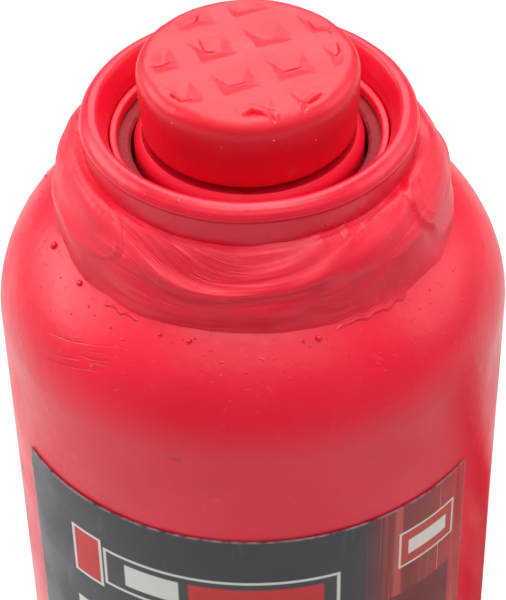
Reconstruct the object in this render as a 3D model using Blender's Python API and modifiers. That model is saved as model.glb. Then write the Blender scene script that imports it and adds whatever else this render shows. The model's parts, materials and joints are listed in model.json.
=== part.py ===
"""A small welded hydraulic bottle jack, modelled as the separate pieces it is assembled from.

Lengths are in millimetres here and become metres in the helper functions. The origin is on the
ram's axis at the bottom of the base. +Z is up, the label faces -Y and the pump is on the +X side.
"""

import math

import bmesh
import bpy
from mathutils import Matrix, Vector

MM = 0.001
QUARTER_TURN = math.pi / 2
UPRIGHT = (0.0, 0.0, 0.0)
ALONG_X = (0.0, QUARTER_TURN, 0.0)
ALONG_Y = (-QUARTER_TURN, 0.0, 0.0)

# Driving dimensions
TANK_RADIUS = 30.0
CLOSED_HEIGHT = 158.0
LIP_HEIGHT = 150.0
LIFT = 90.0
SCREW_EXTENSION = 60.0
THREAD_PITCH = 4.0
BASE_HEIGHT = 24.0
RAM_RADIUS = 13.0
PUMP_X = 57.0
PUMP_ARM = 17.0
PUMP_HALF_SWING = math.radians(25.0)

# Clearances
GAP = 0.3
SLIDING_GAP = 0.15
OVERCUT = 1.0
SEGMENTS = 24
SMALL_SEGMENTS = 16
HOLE_SEGMENTS = 12

# Base
FOOT_HEIGHT = 6.0
FOOT_CORNERS = [(-42, -39, 14), (44, -39, 14), (80, -30, 6), (80, 30, 6), (44, 39, 14), (-42, 39, 14)]
BODY_INSET = 2.5
BASE_FRONT_X = 80.0 - BODY_INSET
BASE_SIDE_Y = 39.0 - BODY_INSET
EDGE_ROUNDING = 1.2
WELL_FLOOR = 14.0
BOSS_RADIUS = 13.0
BOSS_TOP = BASE_HEIGHT + 5.0
PUMP_SEAT = 16.0
PASSAGE_RADIUS = 1.6
PASSAGE_PLUG_RADIUS = 3.0
PUMP_PASSAGE_Z = 14.0
VALVE_Z = 12.0
VALVE_Y = 21.0
VALVE_SEAT_X = 46.0
CROSS_PASSAGE_X = 12.0
OUTLET_VALVE_X = 32.0
OUTLET_SEAT_Z = 11.5
INLET_SEAT_Z = 12.0

# Cylinder, top nut and ram
BORE_RADIUS = 14.5
MOUTH_RADIUS = 15.9
CYLINDER_FOOT_RADIUS = 18.0
COLLAR_RADIUS = 18.8
LIP_RADIUS = 19.05
COLLAR_BOTTOM = 132.0
CYLINDER_FOOT = WELL_FLOOR + 1.6
NUT_SEAT = 125.7
NUT_BOTTOM = NUT_SEAT + GAP
NUT_TOP = 146.4
RAM_TOP = 148.1
RAM_FOOT = 17.3
PISTON_SHOULDER = 29.5
RAM_BORE = 9.3
RAM_BORE_FLOOR = 60.0
THREAD_NUT_LENGTH = 12.0
PISTON_STEM_RADIUS = 8.0
PISTON_SEAL_BORE = PISTON_STEM_RADIUS + GAP

# Extension screw
SCREW_ROOT = 6.4
SCREW_CREST = 8.0
SCREW_TAIL_RADIUS = 5.2
SCREW_FOOT = 71.0
RAM_THREAD_ROOT = 8.45
RAM_THREAD_CREST = 6.85
THREAD_STEPS = 12
THREAD_ROOT_WIDTH = 2.0
THREAD_CREST_WIDTH = 1.2
THREAD_EMBED = 0.4
RAM_THREAD_TURNS = 2
RAM_THREAD_BOTTOM = RAM_TOP - 10.0
SCREW_TURNS = 17
SCREW_THREAD_BOTTOM = RAM_THREAD_BOTTOM - 14.5 * THREAD_PITCH
SADDLE_UNDERSIDE = RAM_TOP + GAP
PIT_PITCH = 6.6
PIT_TURN = math.radians(22.0)
PIT_SHIFT_X = 0.4
PIT_DEPTH = 1.0
PIT_FLOOR_RADIUS = 1.5
PIT_MOUTH_RADIUS = 4.1

# Tank
TANK_WALL = 2.0
TANK_FOOT = BASE_HEIGHT + GAP
SHOULDER_HEIGHT = 124.6
SHOULDER_WIDTH = 13.83
SHOULDER_RISE = 15.15
SHOULDER_POWER = 2.0 / 1.82
SHOULDER_STEPS = 7
NECK_HOLE_RADIUS = 20.0
FILLER_HEIGHT = 100.0
FILLER_RADIUS = 4.5
LABEL_TOP = 112.0
LABEL_HEIGHT = 62.0
LABEL_CENTRE = math.radians(266.0)
LABEL_HALF_ANGLE = math.radians(58.0)
LABEL_THICKNESS = 0.25
LABEL_STEPS = 24

# Pump
BARREL_RADIUS = 9.0
BARREL_FOOT = 18.0
BARREL_TOP = 58.5
HEXAGON_RADIUS = 11.3
HEXAGON_BOTTOM = 44.0
HEXAGON_HEIGHT = 9.0
PLUNGER_RADIUS = 5.0
PLUNGER_BORE = PLUNGER_RADIUS + SLIDING_GAP
PLUNGER_FOOT = PUMP_SEAT + 1.3
PLUNGER_PIN_Z = 68.0
PIN_RADIUS = 2.5
PIN_HOLE = PIN_RADIUS + GAP
LINK_TOP_X = PUMP_X - PUMP_ARM * math.cos(PUMP_HALF_SWING)
LINK_TOP_Z = PLUNGER_PIN_Z + PUMP_ARM * math.sin(PUMP_HALF_SWING)
LUG_PIN_Z = 34.0
LUG_SHIFT = PUMP_ARM * (1.0 - math.cos(PUMP_HALF_SWING)) / 2.0
LUG_PIN_X = LINK_TOP_X - LUG_SHIFT
LUG_RADIUS = 6.0
LUG_HALF_WIDTH = 9.0
TANG_HALF_WIDTH = 5.0
CHEEK_THICKNESS = 3.6
CHEEK_MIDDLE_Y = TANG_HALF_WIDTH + GAP + CHEEK_THICKNESS / 2.0
LINK_THICKNESS = 2.5
LINK_MIDDLE_Y = LUG_HALF_WIDTH + GAP + LINK_THICKNESS / 2.0
LINK_RADIUS = 5.5
SOCKET_AXIS_Z = 74.0
SOCKET_START_X = 66.0
SOCKET_FLOOR_X = 70.0
SOCKET_END_X = 112.0
SOCKET_RADIUS = 11.0
SOCKET_BORE = 8.6

PIN_HEAD_RADIUS = 4.0
PIN_GROOVE_DEPTH = 0.7
CLIP_THICKNESS = 0.8
CLIP_WIDTH = 2.0
CLIP_OPENING = math.radians(70.0)
CLIP_STEPS = 14

# Valves
BALL_RADIUS = 2.5
VALVE_BORE_RADIUS = 5.3
VALVE_SCREW_RADIUS = 5.0
INLET_CHAMBER_RADIUS = 4.5
OUTLET_CHAMBER_RADIUS = 3.6
OUTLET_SEAT_RADIUS = 1.4
SAFETY_SPRING_LENGTH = 10.0
OUTLET_SPRING_LENGTH = 3.2

# Colour, roughness and metallic value of each finish
FINISHES = {
    "red_paint": ((0.80, 0.03, 0.05), 0.38, 0.0),
    "label_print": ((0.06, 0.06, 0.07), 0.30, 0.0),
    "bright_steel": ((0.60, 0.60, 0.62), 0.28, 1.0),
    "dark_steel": ((0.16, 0.16, 0.17), 0.42, 1.0),
    "zinc": ((0.70, 0.68, 0.60), 0.34, 1.0),
    "copper": ((0.72, 0.38, 0.22), 0.35, 1.0),
    "black_rubber": ((0.02, 0.02, 0.02), 0.70, 0.0),
    "urethane": ((0.10, 0.25, 0.50), 0.50, 0.0),
}


def clear_scene():
    for obj in list(bpy.data.objects):
        bpy.data.objects.remove(obj, do_unlink=True)


def new_collection(name):
    collection = bpy.data.collections.new(name)
    bpy.context.scene.collection.children.link(collection)
    return collection


def new_material(name, finish):
    colour, roughness, metallic = FINISHES[finish]
    material = bpy.data.materials.new(name)
    material.use_nodes = True
    shader = material.node_tree.nodes["Principled BSDF"]
    shader.inputs["Base Color"].default_value = (*colour, 1.0)
    shader.inputs["Roughness"].default_value = roughness
    shader.inputs["Metallic"].default_value = metallic
    return material


def add_object(name, mesh, finish, location=(0, 0, 0), rotation=UPRIGHT):
    """Place a mesh as a finished piece, or as a hidden cutter when it has no finish."""
    obj = bpy.data.objects.new(name, mesh)
    obj.location = Vector(location) * MM
    obj.rotation_euler = rotation
    if finish is None:
        CUTTERS.objects.link(obj)
        obj.hide_render = True
        obj.display_type = "WIRE"
        return obj
    PARTS.objects.link(obj)
    mesh.materials.append(new_material(name, finish))
    return obj


def mesh_from_bmesh(name, shape):
    mesh = bpy.data.meshes.new(name)
    shape.to_mesh(mesh)
    shape.free()
    mesh.shade_smooth()
    mesh.set_sharp_from_angle(angle=math.radians(35.0))
    return mesh


def turned(name, outline, finish, location=(0, 0, 0), rotation=UPRIGHT, segments=SEGMENTS):
    """Turn a closed outline of (radius, height), listed down its outer side and up its inner side."""
    mesh = bpy.data.meshes.new(name)
    points = [(radius * MM, 0.0, height * MM) for radius, height in outline]
    edges = []
    for index in range(len(outline)):
        following = (index + 1) % len(outline)
        if outline[index][0] > 0 or outline[following][0] > 0:
            edges.append((index, following))
    mesh.from_pydata(points, edges, [])
    obj = add_object(name, mesh, finish, location, rotation)
    screw = obj.modifiers.new("turn", "SCREW")
    screw.steps = segments
    screw.render_steps = segments
    screw.use_merge_vertices = True
    screw.merge_threshold = 0.00001
    screw.use_smooth_shade = True
    return obj


def rod(name, start, end, radius, segments=HOLE_SEGMENTS, end_radius=None):
    """A hidden cylinder, or cone with an end_radius, from one point to another."""
    begin = Vector(start)
    length = Vector(end) - begin
    shape = bmesh.new()
    bmesh.ops.create_cone(
        shape,
        cap_ends=True,
        segments=segments,
        radius1=radius * MM,
        radius2=(radius if end_radius is None else end_radius) * MM,
        depth=length.length * MM,
        matrix=Matrix.Translation((0, 0, length.length * MM / 2)),
    )
    turn = length.to_track_quat("Z", "Y").to_euler()
    return add_object(name, mesh_from_bmesh(name, shape), None, begin, turn)


def box(name, centre, size):
    """A hidden block to join or cut with."""
    shape = bmesh.new()
    bmesh.ops.create_cube(shape, size=1.0, matrix=Matrix.Diagonal((*(Vector(size) * MM), 1.0)))
    return add_object(name, mesh_from_bmesh(name, shape), None, centre)


def ball(name, centre):
    shape = bmesh.new()
    bmesh.ops.create_uvsphere(shape, u_segments=10, v_segments=6, radius=BALL_RADIUS * MM)
    return add_object(name, mesh_from_bmesh(name, shape), "bright_steel", centre)


def mesh_from_curve(name, curve):
    """The mesh of a curve with its caps welded on."""
    guide = bpy.data.objects.new(name + "_guide", curve)
    CUTTERS.objects.link(guide)
    bpy.context.view_layer.update()
    mesh = bpy.data.meshes.new_from_object(guide.evaluated_get(bpy.context.evaluated_depsgraph_get()))
    bpy.data.objects.remove(guide, do_unlink=True)
    shape = bmesh.new()
    shape.from_mesh(mesh)
    bmesh.ops.remove_doubles(shape, verts=shape.verts, dist=0.00001)
    mesh.name = name
    shape.to_mesh(mesh)
    shape.free()
    return mesh


def plate(name, outline, thickness, finish, location=(0, 0, 0), rotation=UPRIGHT, rounding=0.0):
    """Extrude a flat outline to both sides of its plane."""
    curve = bpy.data.curves.new(name, "CURVE")
    curve.dimensions = "2D"
    curve.fill_mode = "BOTH"
    curve.extrude = thickness * MM / 2
    curve.render_resolution_u = 0
    spline = curve.splines.new("POLY")
    spline.points.add(len(outline) - 1)
    for point, (x, y) in zip(spline.points, outline):
        point.co = (x * MM, y * MM, 0.0, 1.0)
    spline.use_cyclic_u = True
    obj = add_object(name, mesh_from_curve(name, curve), finish, location, rotation)
    if rounding:
        bevel = obj.modifiers.new("rounding", "BEVEL")
        bevel.width = rounding * MM
        bevel.segments = 1
        bevel.limit_method = "ANGLE"
        bevel.angle_limit = math.radians(60.0)
    return obj


def rounded(corners, steps=3):
    """Outline points of a convex polygon whose (x, y, radius) corners run anticlockwise."""
    outline = []
    for index, (x, y, radius) in enumerate(corners):
        corner = Vector((x, y))
        before = Vector(corners[index - 1][:2]) - corner
        after = Vector(corners[(index + 1) % len(corners)][:2]) - corner
        before.normalize()
        after.normalize()
        half_angle = before.angle(after) / 2
        middle = corner + (before + after).normalized() * radius / math.sin(half_angle)
        first = corner + before * radius / math.tan(half_angle) - middle
        sweep = math.pi - 2 * half_angle
        for step in range(steps + 1):
            outline.append(tuple(middle + Matrix.Rotation(sweep * step / steps, 2) @ first))
    return outline


def inset(corners, distance):
    return [(x - math.copysign(distance, x), y - math.copysign(distance, y), r) for x, y, r in corners]


def combine(target, other, operation):
    boolean = target.modifiers.new(other.name, "BOOLEAN")
    boolean.operation = operation
    boolean.solver = "EXACT"
    boolean.object = other


def join(target, other):
    combine(target, other, "UNION")


def cut(target, other):
    combine(target, other, "DIFFERENCE")


def drill(target, label, start, end, radius, segments=HOLE_SEGMENTS):
    cut(target, rod(f"{target.name}_{label}", start, end, radius, segments=segments))


def slot_cutter(name, centre, half_length, radius, depth):
    """A cutter along Y whose section is a slot that is long in X."""
    shape = bmesh.new()
    bmesh.ops.create_cone(
        shape,
        cap_ends=True,
        segments=SMALL_SEGMENTS,
        radius1=radius * MM,
        radius2=radius * MM,
        depth=depth * MM,
        matrix=Matrix.Rotation(QUARTER_TURN, 4, "X"),
    )
    for vertex in shape.verts:
        vertex.co.x += math.copysign((half_length - radius) * MM, vertex.co.x)
    return add_object(name, mesh_from_bmesh(name, shape), None, centre)


def thread_sections(shape, root, crest, bottom, count):
    """Helical rows of the tooth's four corners, from its lower root corner to its upper one."""
    section = [
        (root, -THREAD_ROOT_WIDTH / 2),
        (crest, -THREAD_CREST_WIDTH / 2),
        (crest, THREAD_CREST_WIDTH / 2),
        (root, THREAD_ROOT_WIDTH / 2),
    ]
    rings = []
    for step in range(count + 1):
        angle = 2 * math.pi * step / THREAD_STEPS
        height = bottom + THREAD_PITCH * step / THREAD_STEPS
        ring = []
        for radius, offset in section:
            place = (radius * math.cos(angle), radius * math.sin(angle), height + offset)
            ring.append(shape.verts.new(Vector(place) * MM))
        rings.append(ring)
    for ring, following in zip(rings, rings[1:]):
        for side in range(len(section) - 1):
            shape.faces.new((ring[side], following[side], following[side + 1], ring[side + 1]))
    return rings


def finished_thread(name, shape):
    bmesh.ops.recalc_face_normals(shape, faces=shape.faces)
    return add_object(name, mesh_from_bmesh(name, shape), None)


def thread_ridge(name, root, crest, bottom, turns):
    """The closed tooth of a right-hand thread, to be joined to a bore's wall."""
    shape = bmesh.new()
    rings = thread_sections(shape, root, crest, bottom, turns * THREAD_STEPS)
    for ring, following in zip(rings, rings[1:]):
        shape.faces.new((ring[-1], following[-1], following[0], ring[0]))
    shape.faces.new(rings[0])
    shape.faces.new(reversed(rings[-1]))
    return finished_thread(name, shape)


def threaded_rod(name, root, crest, bottom, turns):
    """A rod with a right-hand thread along its whole length and flat-bottomed ends."""
    shape = bmesh.new()
    rings = thread_sections(shape, root, crest, bottom, turns * THREAD_STEPS)
    last = len(rings) - 1
    for step in range(last - THREAD_STEPS):
        above = step + THREAD_STEPS
        shape.faces.new((rings[step][-1], rings[step + 1][-1], rings[above + 1][0], rings[above][0]))
    half_pitch = THREAD_PITCH / 2
    foot = shape.verts.new(Vector((0, 0, bottom - half_pitch)) * MM)
    head = shape.verts.new(Vector((0, 0, bottom + turns * THREAD_PITCH + half_pitch)) * MM)
    for step in range(THREAD_STEPS):
        shape.faces.new((foot, rings[step + 1][0], rings[step][0]))
        back = last - step
        shape.faces.new((head, rings[back - 1][-1], rings[back][-1]))
    shape.faces.new((foot, *rings[0], rings[THREAD_STEPS][0]))
    shape.faces.new((head, *reversed(rings[last]), rings[last - THREAD_STEPS][-1]))
    return finished_thread(name, shape)


def coil(name, start, length, coil_radius, wire_radius, turns, rotation):
    """A compression spring from start along the turned Z axis."""
    curve = bpy.data.curves.new(name, "CURVE")
    curve.dimensions = "3D"
    curve.bevel_depth = wire_radius * MM
    curve.bevel_resolution = 1
    curve.use_fill_caps = True
    curve.render_resolution_u = 0
    steps_per_turn = 6
    count = int(turns * steps_per_turn) + 1
    spline = curve.splines.new("POLY")
    spline.points.add(count - 1)
    for step, point in enumerate(spline.points):
        angle = 2 * math.pi * step / steps_per_turn
        height = wire_radius + (length - 2 * wire_radius) * step / (count - 1)
        place = Vector((coil_radius * math.cos(angle), coil_radius * math.sin(angle), height)) * MM
        point.co = (*place, 1.0)
    return add_object(name, mesh_from_curve(name, curve), "bright_steel", start, rotation)


def ring(name, inner, outer, bottom, top, finish, **placing):
    """A plain washer or seal."""
    outline = [(outer, top), (outer, bottom), (inner, bottom), (inner, top)]
    return turned(name, outline, finish, **placing)


def clip(name, centre, groove_radius):
    """A C-shaped retaining clip around a pin that lies along Y."""
    inner = groove_radius + SLIDING_GAP
    outer = inner + CLIP_WIDTH
    sweep = 2 * math.pi - CLIP_OPENING
    angles = [CLIP_OPENING / 2 + sweep * step / CLIP_STEPS for step in range(CLIP_STEPS + 1)]
    outline = [(outer * math.cos(angle), outer * math.sin(angle)) for angle in angles]
    outline += [(inner * math.cos(angle), inner * math.sin(angle)) for angle in reversed(angles)]
    plate(name, outline, CLIP_THICKNESS, "dark_steel", centre, ALONG_Y)


def pin(name, x, z, half_grip):
    """A headed pin through half_grip to each side of the middle, with a clip on its far end."""
    head_start = half_grip + GAP
    groove = half_grip + GAP
    groove_radius = PIN_RADIUS - PIN_GROOVE_DEPTH
    outline = [
        (0, groove + 2.4),
        (PIN_RADIUS - 0.4, groove + 2.4),
        (PIN_RADIUS, groove + 2.0),
        (PIN_RADIUS, groove + 1.4),
        (groove_radius, groove + 1.4),
        (groove_radius, groove),
        (PIN_RADIUS, groove),
        (PIN_RADIUS, -head_start),
        (PIN_HEAD_RADIUS, -head_start),
        (PIN_HEAD_RADIUS, -head_start - 1.6),
        (PIN_HEAD_RADIUS - 0.6, -head_start - 2.2),
        (0, -head_start - 2.2),
    ]
    turned(name, outline, "zinc", (x, 0, z), ALONG_Y, SMALL_SEGMENTS)
    clip(name + "_clip", (x, groove + 0.7, z), groove_radius)


def passage_plug(name, mouth, direction, rotation):
    """A slotted plug in the mouth of a drilled passage."""
    length = 8.0
    inward = Vector(mouth) - Vector(direction) * length
    outline = [
        (0, length - 0.8),
        (PASSAGE_PLUG_RADIUS - 0.5, length - 0.8),
        (PASSAGE_PLUG_RADIUS, length - 1.3),
        (PASSAGE_PLUG_RADIUS, 0.5),
        (PASSAGE_PLUG_RADIUS - 0.5, 0),
        (0, 0),
    ]
    turned(name, outline, "zinc", inward, rotation, HOLE_SEGMENTS)


def make_base():
    foot = plate("base_foot", rounded(FOOT_CORNERS), FOOT_HEIGHT, None, (0, 0, FOOT_HEIGHT / 2),
                 rounding=EDGE_ROUNDING)
    body_outline = rounded(inset(FOOT_CORNERS, BODY_INSET))
    base = plate("base", body_outline, BASE_HEIGHT - EDGE_ROUNDING, "red_paint",
                 (0, 0, (BASE_HEIGHT + EDGE_ROUNDING) / 2), rounding=EDGE_ROUNDING)
    join(base, foot)
    boss_foot = (PUMP_X, 0, BASE_HEIGHT - 2)
    join(base, rod("base_boss", boss_foot, (PUMP_X, 0, BOSS_TOP), BOSS_RADIUS, segments=SEGMENTS))
    lug_foot = BASE_HEIGHT - 3 - LUG_PIN_Z
    lug_corners = [
        (-LUG_RADIUS, lug_foot, 0.5),
        (LUG_RADIUS, lug_foot, 0.5),
        (LUG_RADIUS, LUG_RADIUS, LUG_RADIUS - 0.05),
        (-LUG_RADIUS, LUG_RADIUS, LUG_RADIUS - 0.05),
    ]
    lug = plate("base_lug", rounded(lug_corners), 2 * LUG_HALF_WIDTH, None,
                (LUG_PIN_X, 0, LUG_PIN_Z), (QUARTER_TURN, 0, 0))
    join(base, lug)
    slot_half_length = PIN_RADIUS + LUG_SHIFT + GAP
    cut(base, slot_cutter("base_pin_slot", (LUG_PIN_X, 0, LUG_PIN_Z), slot_half_length,
                          PIN_HOLE + SLIDING_GAP, 2 * LUG_HALF_WIDTH + 2 * OVERCUT))
    drill(base, "well", (0, 0, WELL_FLOOR), (0, 0, BASE_HEIGHT + OVERCUT),
          CYLINDER_FOOT_RADIUS + GAP, SEGMENTS)
    drill(base, "pump_bore", (PUMP_X, 0, PUMP_SEAT), (PUMP_X, 0, BOSS_TOP + OVERCUT),
          BARREL_RADIUS + GAP, SEGMENTS)
    drill_passages(base)


def drill_passages(base):
    front = BASE_FRONT_X + OVERCUT
    side = BASE_SIDE_Y + OVERCUT
    annulus = BASE_HEIGHT + OVERCUT
    drill(base, "inlet_chamber", (PUMP_X, 0, INLET_SEAT_Z), (PUMP_X, 0, PUMP_SEAT + OVERCUT),
          INLET_CHAMBER_RADIUS)
    drill(base, "inlet_seat", (PUMP_X, 0, 4.5), (PUMP_X, 0, INLET_SEAT_Z + OVERCUT), PASSAGE_RADIUS)
    drill(base, "inlet_passage", (23, 10, annulus), (PUMP_X, 0, 5.5), PASSAGE_RADIUS)
    drill(base, "pump_passage", (OUTLET_VALVE_X, 0, PUMP_PASSAGE_Z), (front, 0, PUMP_PASSAGE_Z),
          PASSAGE_RADIUS)
    drill(base, "outlet_valve", (OUTLET_VALVE_X, 0, -OVERCUT), (OUTLET_VALVE_X, 0, OUTLET_SEAT_Z),
          OUTLET_CHAMBER_RADIUS)
    drill(base, "outlet_seat", (OUTLET_VALVE_X, 0, OUTLET_SEAT_Z - OVERCUT),
          (OUTLET_VALVE_X, 0, PUMP_PASSAGE_Z + OVERCUT), OUTLET_SEAT_RADIUS)
    drill(base, "well_passage", (2, 0, WELL_FLOOR + OVERCUT), (30, 0, 6.8), PASSAGE_RADIUS)
    drill(base, "cross_passage", (CROSS_PASSAGE_X, -side, VALVE_Z), (CROSS_PASSAGE_X, side, VALVE_Z),
          PASSAGE_RADIUS)
    for label, y in (("release", -VALVE_Y), ("safety", VALVE_Y)):
        drill(base, label + "_bore", (VALVE_SEAT_X, y, VALVE_Z), (front, y, VALVE_Z),
              VALVE_BORE_RADIUS, SMALL_SEGMENTS)
        drill(base, label + "_seat", (CROSS_PASSAGE_X - 1, y, VALVE_Z), (VALVE_SEAT_X + 1, y, VALVE_Z),
              PASSAGE_RADIUS)
    drill(base, "release_return", (24, -9, annulus), (51, -19.5, VALVE_Z + 2), PASSAGE_RADIUS)
    drill(base, "safety_return", (18, 18, annulus), (51, 19.5, VALVE_Z + 2), PASSAGE_RADIUS)
    plug_bore = PASSAGE_PLUG_RADIUS + GAP
    drill(base, "front_plug_bore", (front - 10, 0, PUMP_PASSAGE_Z), (front, 0, PUMP_PASSAGE_Z), plug_bore)
    for label, y in (("left", -side), ("right", side)):
        inner = y - math.copysign(10, y)
        drill(base, label + "_plug_bore", (CROSS_PASSAGE_X, inner, VALVE_Z),
              (CROSS_PASSAGE_X, y, VALVE_Z), plug_bore)


def make_passage_plugs():
    passage_plug("pump_passage_plug", (BASE_FRONT_X, 0, PUMP_PASSAGE_Z), (1, 0, 0), ALONG_X)
    passage_plug("left_passage_plug", (CROSS_PASSAGE_X, -BASE_SIDE_Y, VALVE_Z), (0, -1, 0),
                 (QUARTER_TURN, 0, 0))
    passage_plug("right_passage_plug", (CROSS_PASSAGE_X, BASE_SIDE_Y, VALVE_Z), (0, 1, 0), ALONG_Y)


def make_check_valves():
    ball("inlet_check_ball", (PUMP_X, 0, INLET_SEAT_Z + BALL_RADIUS - SLIDING_GAP + 0.2))
    ball("outlet_check_ball", (OUTLET_VALVE_X, 0, OUTLET_SEAT_Z - BALL_RADIUS - SLIDING_GAP))
    coil("outlet_valve_spring", (OUTLET_VALVE_X, 0, 2.9), OUTLET_SPRING_LENGTH, 1.8, 0.25, 3, UPRIGHT)
    plug_outline = [(0, 2.5), (2.8, 2.5), (3.3, 2.0), (3.3, 0.4), (0, 0.4)]
    turned("outlet_valve_plug", plug_outline, "zinc", (OUTLET_VALVE_X, 0, 0), segments=HOLE_SEGMENTS)


def make_cylinder():
    lip_top = LIP_HEIGHT + 1.3
    outline = [
        (LIP_RADIUS - 0.95, lip_top),
        (LIP_RADIUS - 0.3, LIP_HEIGHT + 0.9),
        (LIP_RADIUS, LIP_HEIGHT),
        (COLLAR_RADIUS, LIP_HEIGHT - 0.7),
        (COLLAR_RADIUS, COLLAR_BOTTOM),
        (CYLINDER_FOOT_RADIUS, COLLAR_BOTTOM - 1.5),
        (CYLINDER_FOOT_RADIUS, CYLINDER_FOOT),
        (BORE_RADIUS, CYLINDER_FOOT),
        (BORE_RADIUS, NUT_SEAT),
        (MOUTH_RADIUS, NUT_SEAT),
        (MOUTH_RADIUS, LIP_HEIGHT - 1.9),
        (17.05, LIP_HEIGHT + 0.8),
        (17.5, LIP_HEIGHT + 1.2),
    ]
    turned("cylinder", outline, "red_paint")
    ring("cylinder_base_gasket", BORE_RADIUS + GAP, CYLINDER_FOOT_RADIUS - GAP, WELL_FLOOR + GAP,
         CYLINDER_FOOT - GAP, "copper")
    inner = CYLINDER_FOOT_RADIUS + GAP
    bottom = BASE_HEIGHT + GAP
    bead = [(inner, bottom + 3), (inner + 1.4, bottom + 2.6), (inner + 3.2, bottom + 1),
            (inner + 3.6, bottom), (inner, bottom)]
    turned("cylinder_weld_bead", bead, "dark_steel")


def make_top_nut():
    outer = MOUTH_RADIUS - GAP
    bore = RAM_RADIUS + GAP
    seal_groove = bore + 1.3
    outline = [
        (outer, NUT_TOP),
        (outer, 135.0),
        (outer - 0.9, 135.0),
        (outer - 0.9, 132.6),
        (outer, 132.6),
        (outer, NUT_BOTTOM),
        (bore, NUT_BOTTOM),
        (bore, 127.4),
        (seal_groove, 127.4),
        (seal_groove, 131.0),
        (bore, 131.0),
        (bore, 138.6),
        (seal_groove, 138.6),
        (seal_groove, 142.0),
        (bore, 142.0),
        (bore, NUT_TOP),
    ]
    turned("top_nut", outline, "red_paint")
    ring_inner = RAM_RADIUS + SLIDING_GAP
    ring_outer = seal_groove - SLIDING_GAP
    ring("ram_seal", ring_inner, ring_outer, 127.6, 130.8, "urethane")
    ring("ram_wiper", ring_inner, ring_outer, 138.8, 141.8, "black_rubber")
    ring("top_nut_o_ring", outer - 0.75, outer + 0.15, 132.8, 134.8, "black_rubber")
    retaining = [(outer, 147.8), (outer, NUT_TOP + GAP), (14.85, NUT_TOP + GAP), (14.85, 147.5),
                 (15.1, 147.8)]
    turned("top_nut_retaining_ring", retaining, "red_paint")


def make_ram():
    thread_bottom = RAM_TOP - THREAD_NUT_LENGTH
    outline = [
        (12.0, RAM_TOP),
        (RAM_RADIUS, RAM_TOP - 1.2),
        (RAM_RADIUS, PISTON_SHOULDER + 4.8),
        (BORE_RADIUS - GAP, PISTON_SHOULDER + 4.2),
        (BORE_RADIUS - GAP, PISTON_SHOULDER),
        (PISTON_STEM_RADIUS, PISTON_SHOULDER),
        (PISTON_STEM_RADIUS, RAM_FOOT + 1.9),
        (PISTON_STEM_RADIUS - 0.8, RAM_FOOT + 1.9),
        (PISTON_STEM_RADIUS - 0.8, RAM_FOOT + 0.7),
        (PISTON_STEM_RADIUS, RAM_FOOT + 0.7),
        (PISTON_STEM_RADIUS - 0.4, RAM_FOOT),
        (0, RAM_FOOT),
        (0, RAM_BORE_FLOOR - 4),
        (RAM_BORE, RAM_BORE_FLOOR),
        (RAM_BORE, thread_bottom),
        (RAM_THREAD_ROOT, thread_bottom),
        (RAM_THREAD_ROOT, RAM_TOP),
    ]
    ram = turned("ram", outline, "red_paint")
    join(ram, thread_ridge("ram_thread", RAM_THREAD_ROOT + THREAD_EMBED, RAM_THREAD_CREST,
                           RAM_THREAD_BOTTOM, RAM_THREAD_TURNS))
    cup = [(BORE_RADIUS - SLIDING_GAP, 29.2), (BORE_RADIUS - SLIDING_GAP, 21.4), (12.8, 21.4),
           (12.5, 26.0), (9.9, 26.0), (9.6, 21.4), (PISTON_SEAL_BORE, 21.4),
           (PISTON_SEAL_BORE, 29.2)]
    turned("piston_cup", cup, "urethane")
    ring("piston_washer", PISTON_SEAL_BORE, 12.0, 19.5, 21.1, "bright_steel")
    ring("piston_snap_ring", 7.35, 9.6, 18.2, 19.0, "dark_steel")


def make_extension_screw():
    outline = [
        (0, CLOSED_HEIGHT),
        (10.2, CLOSED_HEIGHT),
        (11.4, CLOSED_HEIGHT - 0.6),
        (12.2, CLOSED_HEIGHT - 1.8),
        (12.5, CLOSED_HEIGHT - 3.4),
        (11.9, SADDLE_UNDERSIDE + 0.6),
        (11.6, SADDLE_UNDERSIDE),
        (0, SADDLE_UNDERSIDE),
    ]
    screw = turned("extension_screw", outline, "red_paint")
    tail = [
        (0, SCREW_THREAD_BOTTOM),
        (SCREW_TAIL_RADIUS, SCREW_THREAD_BOTTOM),
        (SCREW_TAIL_RADIUS, SCREW_FOOT + 1.6),
        (SCREW_TAIL_RADIUS + 1.0, SCREW_FOOT + 1.2),
        (SCREW_TAIL_RADIUS - 0.2, SCREW_FOOT),
        (0, SCREW_FOOT),
    ]
    join(screw, threaded_rod("screw_thread", SCREW_ROOT, SCREW_CREST, SCREW_THREAD_BOTTOM, SCREW_TURNS))
    join(screw, turned("screw_tail", tail, None, segments=THREAD_STEPS))
    for row in range(4):
        for column in range(4):
            across = Vector(((column - 1.5) * PIT_PITCH, (row - 1.5) * PIT_PITCH))
            if across.length > 2 * PIT_PITCH:
                continue
            x, y = Matrix.Rotation(PIT_TURN, 2) @ across
            x += PIT_SHIFT_X
            pit = rod(f"saddle_pit_{row}_{column}", (x, y, CLOSED_HEIGHT - PIT_DEPTH),
                      (x, y, CLOSED_HEIGHT + PIT_DEPTH), PIT_FLOOR_RADIUS, segments=4,
                      end_radius=PIT_MOUTH_RADIUS)
            pit.rotation_euler.z = PIT_TURN + math.pi / 4
            cut(screw, pit)
    stop_top = RAM_TOP - THREAD_NUT_LENGTH - SCREW_EXTENSION - GAP
    ring("screw_stop_ring", SCREW_TAIL_RADIUS + SLIDING_GAP, RAM_BORE - 0.4, stop_top - 2.8, stop_top,
         "bright_steel")


def shoulder_point(turn):
    """Outer surface of the tank's shoulder: turn is 0 at the wall and a quarter turn at the neck."""
    radius = TANK_RADIUS - SHOULDER_WIDTH * (1 - math.cos(turn) ** SHOULDER_POWER)
    return radius, SHOULDER_HEIGHT + SHOULDER_RISE * math.sin(turn) ** SHOULDER_POWER


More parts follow.
